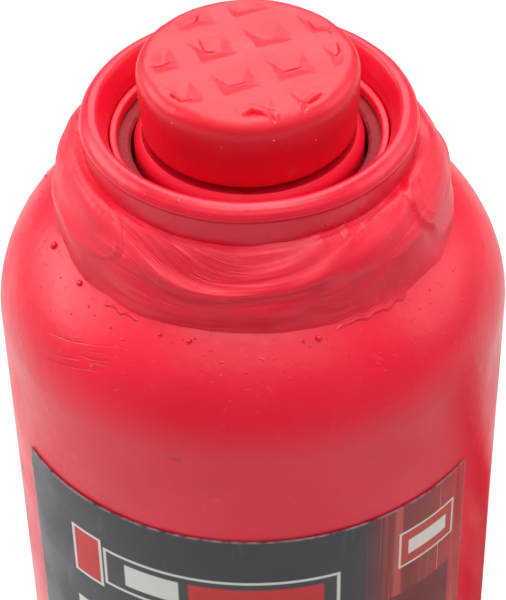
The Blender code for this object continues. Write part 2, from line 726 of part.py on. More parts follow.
def make_tank():
    inward = (TANK_RADIUS - NECK_HOLE_RADIUS) / SHOULDER_WIDTH
    neck_turn = math.acos((1 - inward) ** (1 / SHOULDER_POWER))
    profile = []
    for step in range(SHOULDER_STEPS + 1):
        profile.append(shoulder_point(neck_turn * (1 - step / SHOULDER_STEPS)))
    profile.append((TANK_RADIUS, TANK_FOOT))
    mesh = bpy.data.meshes.new("reservoir_tank")
    points = [(radius * MM, 0.0, height * MM) for radius, height in profile]
    mesh.from_pydata(points, [(index, index + 1) for index in range(len(points) - 1)], [])
    tank = add_object("reservoir_tank", mesh, "red_paint")
    screw = tank.modifiers.new("turn", "SCREW")
    screw.steps = SEGMENTS
    screw.render_steps = SEGMENTS
    screw.use_merge_vertices = True
    screw.merge_threshold = 0.00001
    wall = tank.modifiers.new("wall", "SOLIDIFY")
    wall.thickness = TANK_WALL * MM
    wall.offset = -1.0
    drill(tank, "filler_hole", (0, TANK_RADIUS - 5, FILLER_HEIGHT), (0, TANK_RADIUS + 5, FILLER_HEIGHT),
          FILLER_RADIUS, SMALL_SEGMENTS)


def make_filler_plug():
    outline = [
        (0, 3.4),
        (5.4, 3.4),
        (6.6, 2.6),
        (7.0, GAP),
        (FILLER_RADIUS - GAP, GAP),
        (FILLER_RADIUS - GAP, -2.5),
        (FILLER_RADIUS - 1.2, -4.5),
        (0, -4.5),
    ]
    turned("oil_filler_plug", outline, "black_rubber", (0, TANK_RADIUS, FILLER_HEIGHT), ALONG_Y,
           SMALL_SEGMENTS)


def make_weld_beads():
    neck = [
        (19.3, 146.6),
        (20.3, 146.3),
        (21.5, 144.4),
        (22.3, 141.4),
        (23.0, 139.0),
        (24.0, 137.2),
        (21.5, 138.8),
        (19.3, 139.8),
    ]
    turned("neck_weld_bead", neck, "red_paint")
    inner = TANK_RADIUS + GAP
    bottom = BASE_HEIGHT + GAP
    foot = [(inner, bottom + 3.4), (inner + 1.4, bottom + 2.8), (inner + 2.9, bottom + 1.2),
            (inner + 3.3, bottom), (inner, bottom)]
    turned("base_weld_bead", foot, "red_paint")


def make_label():
    """A curved sheet on the front of the tank."""
    inner = TANK_RADIUS + GAP
    outer = inner + LABEL_THICKNESS
    angles = []
    for step in range(LABEL_STEPS + 1):
        angles.append(LABEL_CENTRE + LABEL_HALF_ANGLE * (2 * step / LABEL_STEPS - 1))
    outline = [(outer * math.cos(angle), outer * math.sin(angle)) for angle in angles]
    outline += [(inner * math.cos(angle), inner * math.sin(angle)) for angle in reversed(angles)]
    plate("label", outline, LABEL_HEIGHT, "label_print", (0, 0, LABEL_TOP - LABEL_HEIGHT / 2))


def make_pump_barrel():
    seal_groove = PLUNGER_BORE + 1.8
    outline = [
        (BARREL_RADIUS - 0.8, BARREL_TOP),
        (BARREL_RADIUS, BARREL_TOP - 0.8),
        (BARREL_RADIUS, BARREL_FOOT),
        (PLUNGER_BORE, BARREL_FOOT),
        (PLUNGER_BORE, 48.0),
        (seal_groove, 48.0),
        (seal_groove, 52.0),
        (PLUNGER_BORE, 52.0),
        (PLUNGER_BORE, 54.4),
        (seal_groove, 54.4),
        (seal_groove, 57.0),
        (PLUNGER_BORE, 57.0),
        (PLUNGER_BORE, BARREL_TOP),
    ]
    barrel = turned("pump_barrel", outline, "zinc", (PUMP_X, 0, 0), segments=SMALL_SEGMENTS)
    hexagon = rod("pump_barrel_hexagon", (0, 0, 0), (0, 0, HEXAGON_HEIGHT), HEXAGON_RADIUS, segments=6)
    hexagon.location = Vector((PUMP_X, 0, HEXAGON_BOTTOM)) * MM
    drill(hexagon, "relief", (PUMP_X, 0, 40), (PUMP_X, 0, 56), BARREL_RADIUS - 0.8,
          SMALL_SEGMENTS)
    join(barrel, hexagon)
    at_pump = {"location": (PUMP_X, 0, 0), "segments": SMALL_SEGMENTS}
    ring("pump_barrel_gasket", PLUNGER_BORE + 1.0, BARREL_RADIUS - GAP, PUMP_SEAT + GAP,
         BARREL_FOOT - GAP, "copper", **at_pump)
    ring_inner = PLUNGER_RADIUS + 0.1
    ring("pump_seal", ring_inner, seal_groove - SLIDING_GAP, 48.2, 51.8, "urethane", **at_pump)
    ring("pump_wiper", ring_inner, seal_groove - SLIDING_GAP, 54.6, 56.8, "black_rubber", **at_pump)


def make_plunger():
    groove = PLUNGER_RADIUS - 1.2
    tang_bottom = BARREL_TOP + 2 * GAP
    outline = [
        (0, tang_bottom + 1.6),
        (PLUNGER_RADIUS, tang_bottom + 1.6),
        (PLUNGER_RADIUS, 24.2),
        (groove, 24.2),
        (groove, 20.2),
        (PLUNGER_RADIUS, 20.2),
        (PLUNGER_RADIUS, PLUNGER_FOOT + 2.2),
        (PLUNGER_RADIUS - 0.6, PLUNGER_FOOT + 1.6),
        (0, PLUNGER_FOOT + 1.6),
    ]
    plunger = turned("pump_plunger", outline, "bright_steel", (PUMP_X, 0, 0), segments=SMALL_SEGMENTS)
    tang_drop = tang_bottom - PLUNGER_PIN_Z
    tang_corners = [(-6.2, tang_drop, 2), (6.2, tang_drop, 2), (6.2, 6.5, 6.1), (-6.2, 6.5, 6.1)]
    tang = plate("plunger_tang", rounded(tang_corners), 2 * TANG_HALF_WIDTH, None,
                 (PUMP_X, 0, PLUNGER_PIN_Z), (QUARTER_TURN, 0, 0))
    join(plunger, tang)
    drill(plunger, "pin_hole", (PUMP_X, -6, PLUNGER_PIN_Z), (PUMP_X, 6, PLUNGER_PIN_Z), PIN_HOLE,
          SMALL_SEGMENTS)
    at_pump = {"location": (PUMP_X, 0, 0), "segments": SMALL_SEGMENTS}
    ring("plunger_o_ring", groove + 0.1, PLUNGER_RADIUS + 0.05, 20.4, 22.2, "black_rubber", **at_pump)
    ring("plunger_backup_ring", groove + 0.1, PLUNGER_RADIUS + 0.05, 22.5, 24.0, "urethane", **at_pump)


def make_handle_socket():
    outline = [
        (SOCKET_RADIUS - 0.8, SOCKET_END_X),
        (SOCKET_RADIUS, SOCKET_END_X - 0.8),
        (SOCKET_RADIUS, SOCKET_START_X),
        (0, SOCKET_START_X),
        (0, SOCKET_END_X),
    ]
    tube = turned("handle_socket", outline, "red_paint", (0, 0, SOCKET_AXIS_Z), ALONG_X)
    cheek_corners = [(35.4, 70.0, 5), (54.0, 61.2, 5), (74.0, 62.9, 1), (74.0, 84.9, 1), (36.5, 82.5, 5)]
    for label, y in (("left", -CHEEK_MIDDLE_Y), ("right", CHEEK_MIDDLE_Y)):
        cheek = plate(f"socket_{label}_cheek", rounded(cheek_corners), CHEEK_THICKNESS, None, (0, y, 0),
                      (QUARTER_TURN, 0, 0))
        join(tube, cheek)
    drill(tube, "bore", (SOCKET_FLOOR_X, 0, SOCKET_AXIS_Z), (SOCKET_END_X + 1, 0, SOCKET_AXIS_Z),
          SOCKET_BORE, SEGMENTS)
    reach = CHEEK_MIDDLE_Y + CHEEK_THICKNESS
    for label, x, z in (("plunger", PUMP_X, PLUNGER_PIN_Z), ("link", LINK_TOP_X, LINK_TOP_Z)):
        drill(tube, label + "_pin_hole", (x, -reach, z), (x, reach, z), PIN_HOLE, SMALL_SEGMENTS)


def make_links():
    middle_z = (LINK_TOP_Z + LUG_PIN_Z) / 2
    half = (LINK_TOP_Z - LUG_PIN_Z) / 2 + LINK_RADIUS
    corners = [(x, z, LINK_RADIUS - 0.05) for x, z in (
        (-LINK_RADIUS, -half), (LINK_RADIUS, -half), (LINK_RADIUS, half), (-LINK_RADIUS, half))]
    for label, y in (("left", -LINK_MIDDLE_Y), ("right", LINK_MIDDLE_Y)):
        link = plate(f"{label}_link_plate", rounded(corners), LINK_THICKNESS, "zinc",
                     (LINK_TOP_X, y, middle_z), (QUARTER_TURN, 0, 0))
        for end, z in (("upper", LINK_TOP_Z), ("lower", LUG_PIN_Z)):
            drill(link, end + "_hole", (LINK_TOP_X, y - 3, z), (LINK_TOP_X, y + 3, z), PIN_HOLE,
                  SMALL_SEGMENTS)
    plate_face = LINK_MIDDLE_Y + LINK_THICKNESS / 2
    pin("upper_link_pin", LINK_TOP_X, LINK_TOP_Z, plate_face)
    pin("lower_link_pin", LINK_TOP_X, LUG_PIN_Z, plate_face)
    pin("plunger_pin", PUMP_X, PLUNGER_PIN_Z, CHEEK_MIDDLE_Y + CHEEK_THICKNESS / 2)


def make_release_valve():
    start = VALVE_SEAT_X + 2 * BALL_RADIUS + 0.6
    outline = [
        (0, 87.0),
        (5.6, 87.0),
        (6.5, 86.1),
        (6.5, 80.6),
        (VALVE_SCREW_RADIUS, 80.6),
        (VALVE_SCREW_RADIUS, 70.2),
        (3.8, 70.2),
        (3.8, 67.4),
        (VALVE_SCREW_RADIUS, 67.4),
        (VALVE_SCREW_RADIUS, start + 3.2),
        (3.2, start),
        (0, start),
    ]
    place = (0, -VALVE_Y, VALVE_Z)
    screw = turned("release_valve_screw", outline, "zinc", place, ALONG_X, SMALL_SEGMENTS)
    join(screw, box("release_tang", (89.5, -VALVE_Y, VALVE_Z), (8.0, 9.5, 3.4)))
    ring("release_o_ring", 3.95, 5.15, 67.7, 69.9, "black_rubber", location=place, rotation=ALONG_X,
         segments=SMALL_SEGMENTS)
    ball("release_ball", (VALVE_SEAT_X + BALL_RADIUS + 0.2, -VALVE_Y, VALVE_Z))


def make_safety_valve():
    place = (0, VALVE_Y, VALVE_Z)
    ball("safety_ball", (VALVE_SEAT_X + BALL_RADIUS + 0.2, VALVE_Y, VALVE_Z))
    spring_start = VALVE_SEAT_X + 2 * BALL_RADIUS + 0.5
    coil("safety_spring", (spring_start, VALVE_Y, VALVE_Z), SAFETY_SPRING_LENGTH, 2.6, 0.6, 5, ALONG_X)
    adjuster_start = spring_start + SAFETY_SPRING_LENGTH + GAP
    adjuster = [
        (0, adjuster_start + 7),
        (4.4, adjuster_start + 7),
        (VALVE_SCREW_RADIUS, adjuster_start + 6.4),
        (VALVE_SCREW_RADIUS, adjuster_start + 0.6),
        (4.4, adjuster_start),
        (0, adjuster_start),
    ]
    screw = turned("safety_adjusting_screw", adjuster, "dark_steel", place, ALONG_X, SMALL_SEGMENTS)
    cut(screw, box("adjuster_slot", (adjuster_start + 7, VALVE_Y, VALVE_Z), (3, 12, 1.2)))
    cap = [
        (0, BASE_FRONT_X + 3.2),
        (5.0, BASE_FRONT_X + 3.2),
        (5.6, BASE_FRONT_X + 2.6),
        (5.6, BASE_FRONT_X + GAP),
        (4.9, BASE_FRONT_X + GAP),
        (4.9, 71.0),
        (0, 71.0),
    ]
    turned("safety_valve_cap", cap, "zinc", place, ALONG_X, SMALL_SEGMENTS)


def main():
    make_base()
    make_passage_plugs()
    make_check_valves()
    make_cylinder()
    make_top_nut()
    make_ram()
    make_extension_screw()
    make_tank()
    make_filler_plug()
    make_weld_beads()
    make_label()
    make_pump_barrel()
    make_plunger()
    make_handle_socket()
    make_links()
    make_release_valve()
    make_safety_valve()


clear_scene()
PARTS = new_collection("bottle_jack")
CUTTERS = new_collection("cutters")
main()
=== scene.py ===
"""Looks for the bottle jack: fine surfaces, paint, weld, label, studio and camera.

Lengths are in millimetres and become metres in the mesh helpers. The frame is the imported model's:
origin at the base's bottom on the ram's axis, +Z up, label on -Y, pump on +X.
"""

import json
from math import ceil, copysign, cos, dist, hypot, pi, radians, sin, tan

import bmesh
import bpy
import numpy as np
from mathutils import Matrix, Vector


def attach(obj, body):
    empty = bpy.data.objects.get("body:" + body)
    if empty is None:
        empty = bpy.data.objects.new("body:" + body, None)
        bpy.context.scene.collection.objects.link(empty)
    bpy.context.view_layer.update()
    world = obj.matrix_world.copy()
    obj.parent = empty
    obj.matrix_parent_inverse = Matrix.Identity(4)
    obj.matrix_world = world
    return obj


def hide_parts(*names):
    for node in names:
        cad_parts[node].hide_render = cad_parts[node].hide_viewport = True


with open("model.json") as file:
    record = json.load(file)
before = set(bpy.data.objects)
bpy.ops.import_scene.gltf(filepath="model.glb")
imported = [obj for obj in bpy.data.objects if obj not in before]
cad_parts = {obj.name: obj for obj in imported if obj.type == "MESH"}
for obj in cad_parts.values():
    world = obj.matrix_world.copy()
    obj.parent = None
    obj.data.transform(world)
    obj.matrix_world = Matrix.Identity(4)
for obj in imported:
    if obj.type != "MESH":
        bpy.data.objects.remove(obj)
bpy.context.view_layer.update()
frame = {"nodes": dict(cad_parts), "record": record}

MM = 0.001
TURN = 2 * pi

# Sizes that follow the CAD model
TANK_RADIUS = 30
TANK_FOOT = 24.3
SADDLE_UNDERSIDE = 148.4
NUT_TOP = 146.4
SHOULDER_HEIGHT = 124.6
SHOULDER_WIDTH = 13.83
SHOULDER_RISE = 15.15
SHOULDER_POWER = 2 / 1.82
VALVE_Y = 21
VALVE_Z = 12
PUMP_X = 57
PLUNGER_PIN_Z = 68
LINK_TOP = (41.593, 75.184)
LUG_PIN = (40.796, 34)
THREAD_PITCH = 4
LUG_HALF = 9
TANG_HALF = 5
PLAY = 0.3
CHEEK_HALF = 1.8
LINK_HALF = 1.25
CHEEK_Y = TANG_HALF + PLAY + CHEEK_HALF
LINK_Y = LUG_HALF + PLAY + LINK_HALF
PIN_HOLE = 2.8

# Turns that bring a piece built along Z, or a plan laid in XY, to its own direction
AXIS_TURNS = {
    "X": Matrix.Rotation(pi / 2, 4, "Y"),
    "Y": Matrix.Rotation(-pi / 2, 4, "X"),
    "Z": Matrix.Identity(4),
}
UPRIGHT = Matrix.Rotation(pi / 2, 4, "X")


# ---- mesh helpers

def link_object(name, data):
    obj = bpy.data.objects.new(name, data)
    bpy.context.scene.collection.objects.link(obj)
    return obj


def add_mesh(name, vertices, faces, smooth_angle=40):
    mesh = bpy.data.meshes.new(name)
    mesh.from_pydata((np.asarray(vertices) * MM).tolist(), [], faces)
    mesh.validate()
    mesh.shade_smooth()
    if smooth_angle:
        mesh.set_sharp_from_angle(angle=radians(smooth_angle))
    return link_object(name, mesh)


def object_from(name, shape):
    mesh = bpy.data.meshes.new(name)
    shape.to_mesh(mesh)
    shape.free()
    mesh.shade_smooth()
    return link_object(name, mesh)


def clean(obj, merge=False):
    """Turn the normals outwards, after merging doubled vertices if asked."""
    shape = bmesh.new()
    shape.from_mesh(obj.data)
    if merge:
        bmesh.ops.remove_doubles(shape, verts=shape.verts, dist=0.000002)
        bmesh.ops.dissolve_degenerate(shape, edges=shape.edges, dist=0.0000005)
    bmesh.ops.recalc_face_normals(shape, faces=shape.faces)
    shape.to_mesh(obj.data)
    shape.free()
    return obj


def shift(obj, place, turn=AXIS_TURNS["Z"]):
    """Turn a piece about the origin, then move it."""
    obj.data.transform(Matrix.Translation(Vector(place) * MM) @ turn)
    return obj


def combine(obj, other, operation):
    """Apply an exact Boolean with another object and drop that object."""
    boolean = obj.modifiers.new("cut", "BOOLEAN")
    boolean.operation = operation
    boolean.solver = "EXACT"
    boolean.object = other
    bpy.context.view_layer.update()
    baked = bpy.data.meshes.new_from_object(obj.evaluated_get(bpy.context.evaluated_depsgraph_get()))
    obj.modifiers.clear()
    obj.data = baked
    baked.shade_smooth()
    baked.set_sharp_from_angle(angle=radians(40))
    bpy.data.objects.remove(other, do_unlink=True)


def drill_round(obj, start, end, radius, segments=64):
    length = Vector(end) - Vector(start)
    turn = length.to_track_quat("Z", "Y").to_matrix().to_4x4()
    place = Matrix.Translation((Vector(start) + Vector(end)) / 2 * MM) @ turn
    shape = bmesh.new()
    bmesh.ops.create_cone(shape, cap_ends=True, segments=segments, radius1=radius * MM, radius2=radius * MM,
                          depth=length.length * MM, matrix=place)
    combine(obj, object_from("cutter", shape), "DIFFERENCE")


def add_ball(shape, azimuth, radius, height, size, steps=2, stretch=AXIS_TURNS["Z"]):
    """Add a ball of that size at an azimuth in degrees, a distance from the axis and a height."""
    place = Matrix.Translation(Vector(polar(radius, radians(azimuth), height)) * MM)
    bmesh.ops.create_icosphere(shape, subdivisions=steps, radius=size * MM, matrix=place @ stretch)


def polar(radius, angle, height):
    """Places on a last axis from distance, angle and height, all numbers or grids."""
    x = radius * np.cos(angle)
    return np.stack([x, radius * np.sin(angle), height + 0 * x], -1)


def around(outline, segments):
    """Grids of radius, height and angle for a (radius, height) outline turned through a full circle."""
    outline = np.array(outline, float)
    return np.broadcast_arrays(outline[:, :1], outline[:, 1:], np.arange(segments) * TURN / segments)


def ring(columns):
    """Angles round a circle and the matching unit vectors."""
    angle = np.arange(columns) * TURN / columns
    return angle, np.stack([np.cos(angle), np.sin(angle)], -1)


def grid_faces(rows, columns, wrap_rows, wrap_columns):
    faces = []
    for row in range(rows if wrap_rows else rows - 1):
        below = (row + 1) % rows
        for column in range(columns if wrap_columns else columns - 1):
            beside = (column + 1) % columns
            faces.append((row * columns + column, below * columns + column,
                          below * columns + beside, row * columns + beside))
    return faces


def arc_points(outline, spacing):
    """Points along a (radius, height) outline, no further apart than spacing."""
    points = []
    for (r0, z0), (r1, z1) in zip(outline, outline[1:]):
        count = max(1, ceil(hypot(r1 - r0, z1 - z0) / spacing))
        for step in range(count):
            share = step / count
            points.append((r0 + (r1 - r0) * share, z0 + (z1 - z0) * share))
    points.append(outline[-1])
    return points


def softened(outline, radius, steps=4, closed=True):
    """Round the corners of a (radius, height) outline with arcs no larger than radius."""
    points = []
    count = len(outline)
    for index, corner in enumerate(outline):
        if not closed and index in (0, count - 1):
            points.append(corner)
            continue
        here = np.array(corner, float)
        before = np.array(outline[index - 1], float) - here
        after = np.array(outline[(index + 1) % count], float) - here
        near, far = np.linalg.norm(before), np.linalg.norm(after)
        if here[0] < 0.001 or near < 0.001 or far < 0.001:
            points.append(corner)
            continue
        reach = min(radius, near * 0.45, far * 0.45)
        start, end = here + before / near * reach, here + after / far * reach
        for step in range(steps + 1):
            share = step / steps
            place = (1 - share) ** 2 * start + 2 * share * (1 - share) * here + share ** 2 * end
            points.append(tuple(place))
    return points


def lathe(name, outline, segments=160, axis="Z", place=(0, 0, 0), smooth_angle=40, displace=None):
    """Turn a closed (radius, height) outline that runs down its outer side."""
    radius, height, angle = around(outline, segments)
    if displace:
        radius, height = displace(radius, height, angle)
    faces = grid_faces(len(outline), segments, True, True)
    obj = add_mesh(name, polar(radius, angle, height).reshape(-1, 3), faces, smooth_angle)
    return shift(clean(obj, True), place, AXIS_TURNS[axis])


def wave_noise(points, seed, octaves=3):
    """Smooth noise between about -1 and 1 at an array of places, from sums of turned sine waves."""
    source = np.random.default_rng(seed)
    total = np.zeros(points.shape[:-1])
    weight = 1
    for octave in range(octaves):
        for _ in range(6):
            direction = source.normal(size=points.shape[-1])
            direction *= 2 ** octave / np.linalg.norm(direction) * source.uniform(0.7, 1.4)
            total += weight * np.sin(points @ direction * 2.2 + source.uniform(0, TURN)) / 2.4
        weight *= 0.5
    return total / 1.75


def smoothstep(low, high, value):
    share = np.clip((value - low) / (high - low), 0, 1)
    return share * share * (3 - 2 * share)


def between(value, rise, full, fade, gone):
    """1 from full to fade, easing to 0 at rise and at gone."""
    return smoothstep(rise, full, value) * (1 - smoothstep(fade, gone, value))


def bell(value, centre, half):
    return np.exp(-((value - centre) / half) ** 2)


def finish_piece(obj, body, slot, material, *nodes):
    """Ride, replace and paint, all in one place; the slot argument is not used."""
    obj.data.materials.clear()
    obj.data.materials.append(material)
    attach(obj, body)
    if nodes:
        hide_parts(*nodes)


# ---- materials

class Surface:
    """A Principled material under construction, with object coordinates in metres."""

    def __init__(self, name, colour, roughness, metallic=0, gloss=0.5):
        self.material = bpy.data.materials.new(name)
        self.material.use_nodes = True
        self.nodes = self.material.node_tree.nodes
        self.links = self.material.node_tree.links
        self.shader = self.nodes["Principled BSDF"]
        self.feed(self.shader, {"Base Color": (*colour, 1), "Roughness": roughness, "Metallic": metallic,
                                "Specular IOR Level": gloss})
        self.place = self.nodes.new("ShaderNodeTexCoord").outputs["Object"]
        self.normal = None

    def feed(self, node, inputs):
        """Give each input a constant or another node's output."""
        for name, value in inputs.items():
            if isinstance(value, bpy.types.NodeSocket):
                self.links.new(value, node.inputs[name])
            else:
                node.inputs[name].default_value = value
        return node

    def add(self, kind, inputs):
        return self.feed(self.nodes.new("ShaderNode" + kind), inputs)

    def noise(self, scale, detail=3, stretch=None, distortion=0, place=None):
        place = place or self.place
        if stretch:
            place = self.add("Mapping", {"Vector": place, "Scale": stretch}).outputs["Vector"]
        inputs = {"Vector": place, "Scale": scale, "Detail": detail, "Distortion": distortion}
        return self.add("TexNoise", inputs).outputs["Fac"]

    def vector(self, x, y, z=0):
        return self.add("CombineXYZ", {"X": x, "Y": y, "Z": z}).outputs["Vector"]

    def azimuth_and_height(self):
        """The point's azimuth in radians and its height in millimetres."""
        x, y, z = self.add("SeparateXYZ", {"Vector": self.place}).outputs
        return self.math("ARCTAN2", y, x), self.times(z, 1000)

    def ramp(self, value, low, high, out_low=0, out_high=1):
        node = self.add("MapRange", {"Value": value, "From Min": low, "From Max": high, "To Min": out_low,
                                     "To Max": out_high})
        node.interpolation_type = "SMOOTHSTEP"
        return node.outputs["Result"]

    def math(self, operation, first, second):
        node = self.add("Math", {0: first, 1: second})
        node.operation = operation
        return node.outputs["Value"]

    def times(self, product, *factors):
        for factor in factors:
            product = self.math("MULTIPLY", product, factor)
        return product

    def tint(self, share, colour):
        """Mix another colour over what is there, by a share that varies over the surface."""
        mix = self.nodes.new("ShaderNodeMix")
        mix.data_type = "RGBA"
        base = self.shader.inputs["Base Color"]
        under = base.links[0].from_socket if base.is_linked else base.default_value
        self.feed(mix, {"A": under, "B": (*colour, 1), "Factor": share})
        self.links.new(mix.outputs["Result"], base)

    def blotch(self, scale, detail, low, high, share, colour):
        """Tint where a noise rises from low to high."""
        self.tint(self.ramp(self.noise(scale, detail), low, high, 0, share), colour)

    def bump(self, value, depth_mm):
        inputs = {"Distance": depth_mm * MM, "Height": value}
        if self.normal:
            inputs["Normal"] = self.normal
        self.normal = self.add("Bump", inputs).outputs["Normal"]
        self.feed(self.shader, {"Normal": self.normal})

    def rough(self, scale, detail, low, high, noise_top=0.7):
        """Let the roughness wander between low and high."""
        self.feed(self.shader, {"Roughness": self.ramp(self.noise(scale, detail), 0.3, noise_top, low, high)})


PAINT = (0.80, 0.004, 0.029)
DEEP_RED = (0.56, 0.004, 0.016)


def paint(name, roughness=0.36, grain=0, colour=PAINT, chips=0, gloss=0.5):
    """Satin red enamel: orange peel, dust nibs, faint clouding and, if asked for, sand grain and chips."""
    coat = Surface(name, colour, roughness, gloss=gloss)
    coat.blotch(45, 4, 0.35, 0.75, 0.35, DEEP_RED)
    coat.blotch(320, 3, 0.62, 0.80, 0.30, (0.80, 0.05, 0.07))
    coat.bump(coat.noise(750, 2), 0.035)
    coat.bump(coat.ramp(coat.noise(1500, 1), 0.68, 0.78), 0.02)
    if grain:
        coat.bump(coat.noise(2600, 3), grain)
    if chips:
        edge = coat.ramp(coat.noise(260, 6, distortion=0.6), 0.70 - 0.1 * chips, 0.72 - 0.1 * chips)
        coat.tint(edge, (0.09, 0.05, 0.05))
    coat.rough(120, 4, roughness - 0.05, roughness + 0.07)
    return coat.material


def metal(name, colour, roughness, stretch=(60, 60, 900)):
    """Machined steel with drawn or turned marks and handling stains."""
    coat = Surface(name, colour, roughness, 1)
    coat.blotch(110, 5, 0.45, 0.8, 0.55, tuple(channel * 0.55 for channel in colour))
    coat.bump(coat.noise(3, 2, stretch), 0.01)
    coat.rough(200, 4, roughness - 0.08, roughness + 0.16, 0.75)
    return coat.material


def rubber(name, colour=(0.018, 0.018, 0.02)):
    coat = Surface(name, colour, 0.6)
    coat.blotch(240, 4, 0.5, 0.8, 0.4, (0.06, 0.06, 0.06))
    coat.bump(coat.noise(1400, 3), 0.02)
    coat.rough(300, 3, 0.5, 0.75)
    return coat.material


# ---- shared shapes

def shoulder(turn):
    """Outer surface of the tank's shoulder, from the wall (0) towards the neck."""
    radius = TANK_RADIUS - SHOULDER_WIDTH * (1 - np.cos(turn) ** SHOULDER_POWER)
    return radius, SHOULDER_HEIGHT + SHOULDER_RISE * np.sin(turn) ** SHOULDER_POWER


def shoulder_height(radius):
    inward = (TANK_RADIUS - np.asarray(radius, float)) / SHOULDER_WIDTH
    turn = np.arccos(np.clip(1 - inward, 0, 1) ** (1 / SHOULDER_POWER))
    return shoulder(turn)[1]


# ---- studio and camera

CAMERA_PLACE = (0, -0.1981, 0.2976)
CAMERA_PITCH = radians(41.57)
CAMERA_ROLL = radians(-1.24)
CAMERA_LENS = 132.05
LIGHT_TARGET = (0, 0, 0.11)


def make_camera():
    data = bpy.data.cameras.new("camera")
    data.lens = CAMERA_LENS
    data.sensor_width = 36
    data.clip_start = 0.01
    camera = link_object("camera", data)
    tilt = Matrix.Rotation(pi / 2 - CAMERA_PITCH, 4, "X")
    camera.matrix_world = Matrix.Translation(CAMERA_PLACE) @ tilt @ Matrix.Rotation(CAMERA_ROLL, 4, "Z")
    bpy.context.scene.camera = camera


def area_light(name, place, size, power):
    data = bpy.data.lights.new(name, "AREA")
    data.shape = "RECTANGLE"
    data.size, data.size_y = size
    data.energy = power
    light = link_object(name, data)
    light.location = place
    light.visible_camera = False
    light.rotation_euler = (Vector(LIGHT_TARGET) - Vector(place)).to_track_quat("-Z", "Y").to_euler()


def make_studio():
    scene = bpy.context.scene
    scene.view_settings.view_transform = "Standard"
    world = bpy.data.worlds.new("studio")
    world.use_nodes = True
    background = world.node_tree.nodes["Background"]
    background.inputs["Color"].default_value = (1, 1, 1, 1)
    background.inputs["Strength"].default_value = 0.24
    scene.world = world
    area_light("top_softbox", (0, 0, 0.64), (0.40, 0.40), 2.5)
    area_light("back_softbox", (0, 0.36, 0.50), (0.60, 0.42), 2.1)
    area_light("overhead_softbox", (0, -0.36, 0.56), (0.80, 0.26), 0.75)
    area_light("left_softbox", (-0.55, 0.15, 0.38), (0.5, 0.36), 2.05)
    area_light("right_softbox", (0.55, 0.10, 0.38), (0.5, 0.36), 1.1)
    reach = 9000
    corners = [(-reach, -reach, 0), (reach, -reach, 0), (reach, reach, 0), (-reach, reach, 0)]
    floor = add_mesh("floor", corners, [(0, 1, 2, 3)], 0)
    coat = Surface("floor", (0.74, 0.74, 0.74), 0.8)
    coat.blotch(6, 3, 0.4, 0.8, 0.3, (0.72, 0.72, 0.72))
    floor.data.materials.append(coat.material)


# ---- tank, collar and weld

def tank_marks(coat, azimuths, heights, slope, spacing, colour, share):
    """Fine nearly level scratches in a soft-edged patch of the tank; azimuths run from 180 to 360."""
    azimuth, up = coat.azimuth_and_height()
    low, high = (radians(value - 360) for value in azimuths)
    edge = (high - low) * 0.22
    level = coat.math("SUBTRACT", up, coat.times(azimuth, slope))
    bottom, top = (height - (low + high) / 2 * slope for height in heights)
    sides = coat.times(coat.ramp(azimuth, low, low + edge), coat.ramp(azimuth, high - edge, high, 1, 0))
    patch = coat.times(sides, coat.ramp(level, bottom, bottom + 1.2),
                       coat.ramp(level, top - 1.2, top, 1, 0))
    place = coat.vector(coat.times(level, 1 / spacing), coat.times(azimuth, 3))
    lines = coat.times(coat.ramp(coat.noise(1, 2, place=place), 0.54, 0.62), patch)
    coat.tint(coat.times(lines, share), colour)
    coat.bump(coat.math("SUBTRACT", 1, lines), 0.03)


def tank_paint():
    coat = Surface("tank_paint", PAINT, 0.36)
    coat.blotch(45, 4, 0.35, 0.75, 0.35, DEEP_RED)
    coat.blotch(420, 3, 0.66, 0.80, 0.35, (0.86, 0.08, 0.10))
    coat.bump(coat.noise(620, 3), 0.06)
    coat.bump(coat.ramp(coat.noise(1500, 1), 0.68, 0.78), 0.03)
    tank_marks(coat, (212, 236), (129.6, 133.8), 7.6, 0.42, (0.40, 0, 0.012), 0.5)
    tank_marks(coat, (250.5, 254.5), (123.2, 124.8), 0.5, 0.9, (0.20, 0, 0.006), 0.95)
    near_toe = coat.ramp(coat.azimuth_and_height()[1], 134.5, 137.5)
    groups = coat.ramp(coat.noise(150, 2), 0.46, 0.56)
    pinholes = coat.times(coat.ramp(coat.noise(1900, 2), 0.68, 0.72), groups, near_toe)
    coat.tint(pinholes, (0.16, 0, 0.004))
    coat.bump(coat.math("SUBTRACT", 1, pinholes), 0.05)
    coat.rough(120, 4, 0.32, 0.44)
    return coat.material


def make_tank():
    wall = 2
    turns = np.linspace(1.06, 0, 44)
    outer = [tuple(float(value) for value in shoulder(turn)) for turn in turns]
    outline = outer + arc_points([(TANK_RADIUS, SHOULDER_HEIGHT), (TANK_RADIUS, TANK_FOOT)], 3)[1:]
    inner = [(radius - wall, height - wall * sin(turn)) for (radius, height), turn in zip(outer, turns)]
    outline += [(TANK_RADIUS - wall, TANK_FOOT)] + inner[::-1]

    def uneven(radius, height, angle):
        return radius + 0.05 * wave_noise(polar(radius, angle, height) / 22, 5, 2), height

    tank = lathe("tank_shell", outline, 360, displace=uneven)
    drill_round(tank, (0, 25, 100), (0, 36, 100), 4.5)
    finish_piece(tank, "base", "red_paint", tank_paint(), "reservoir_tank")


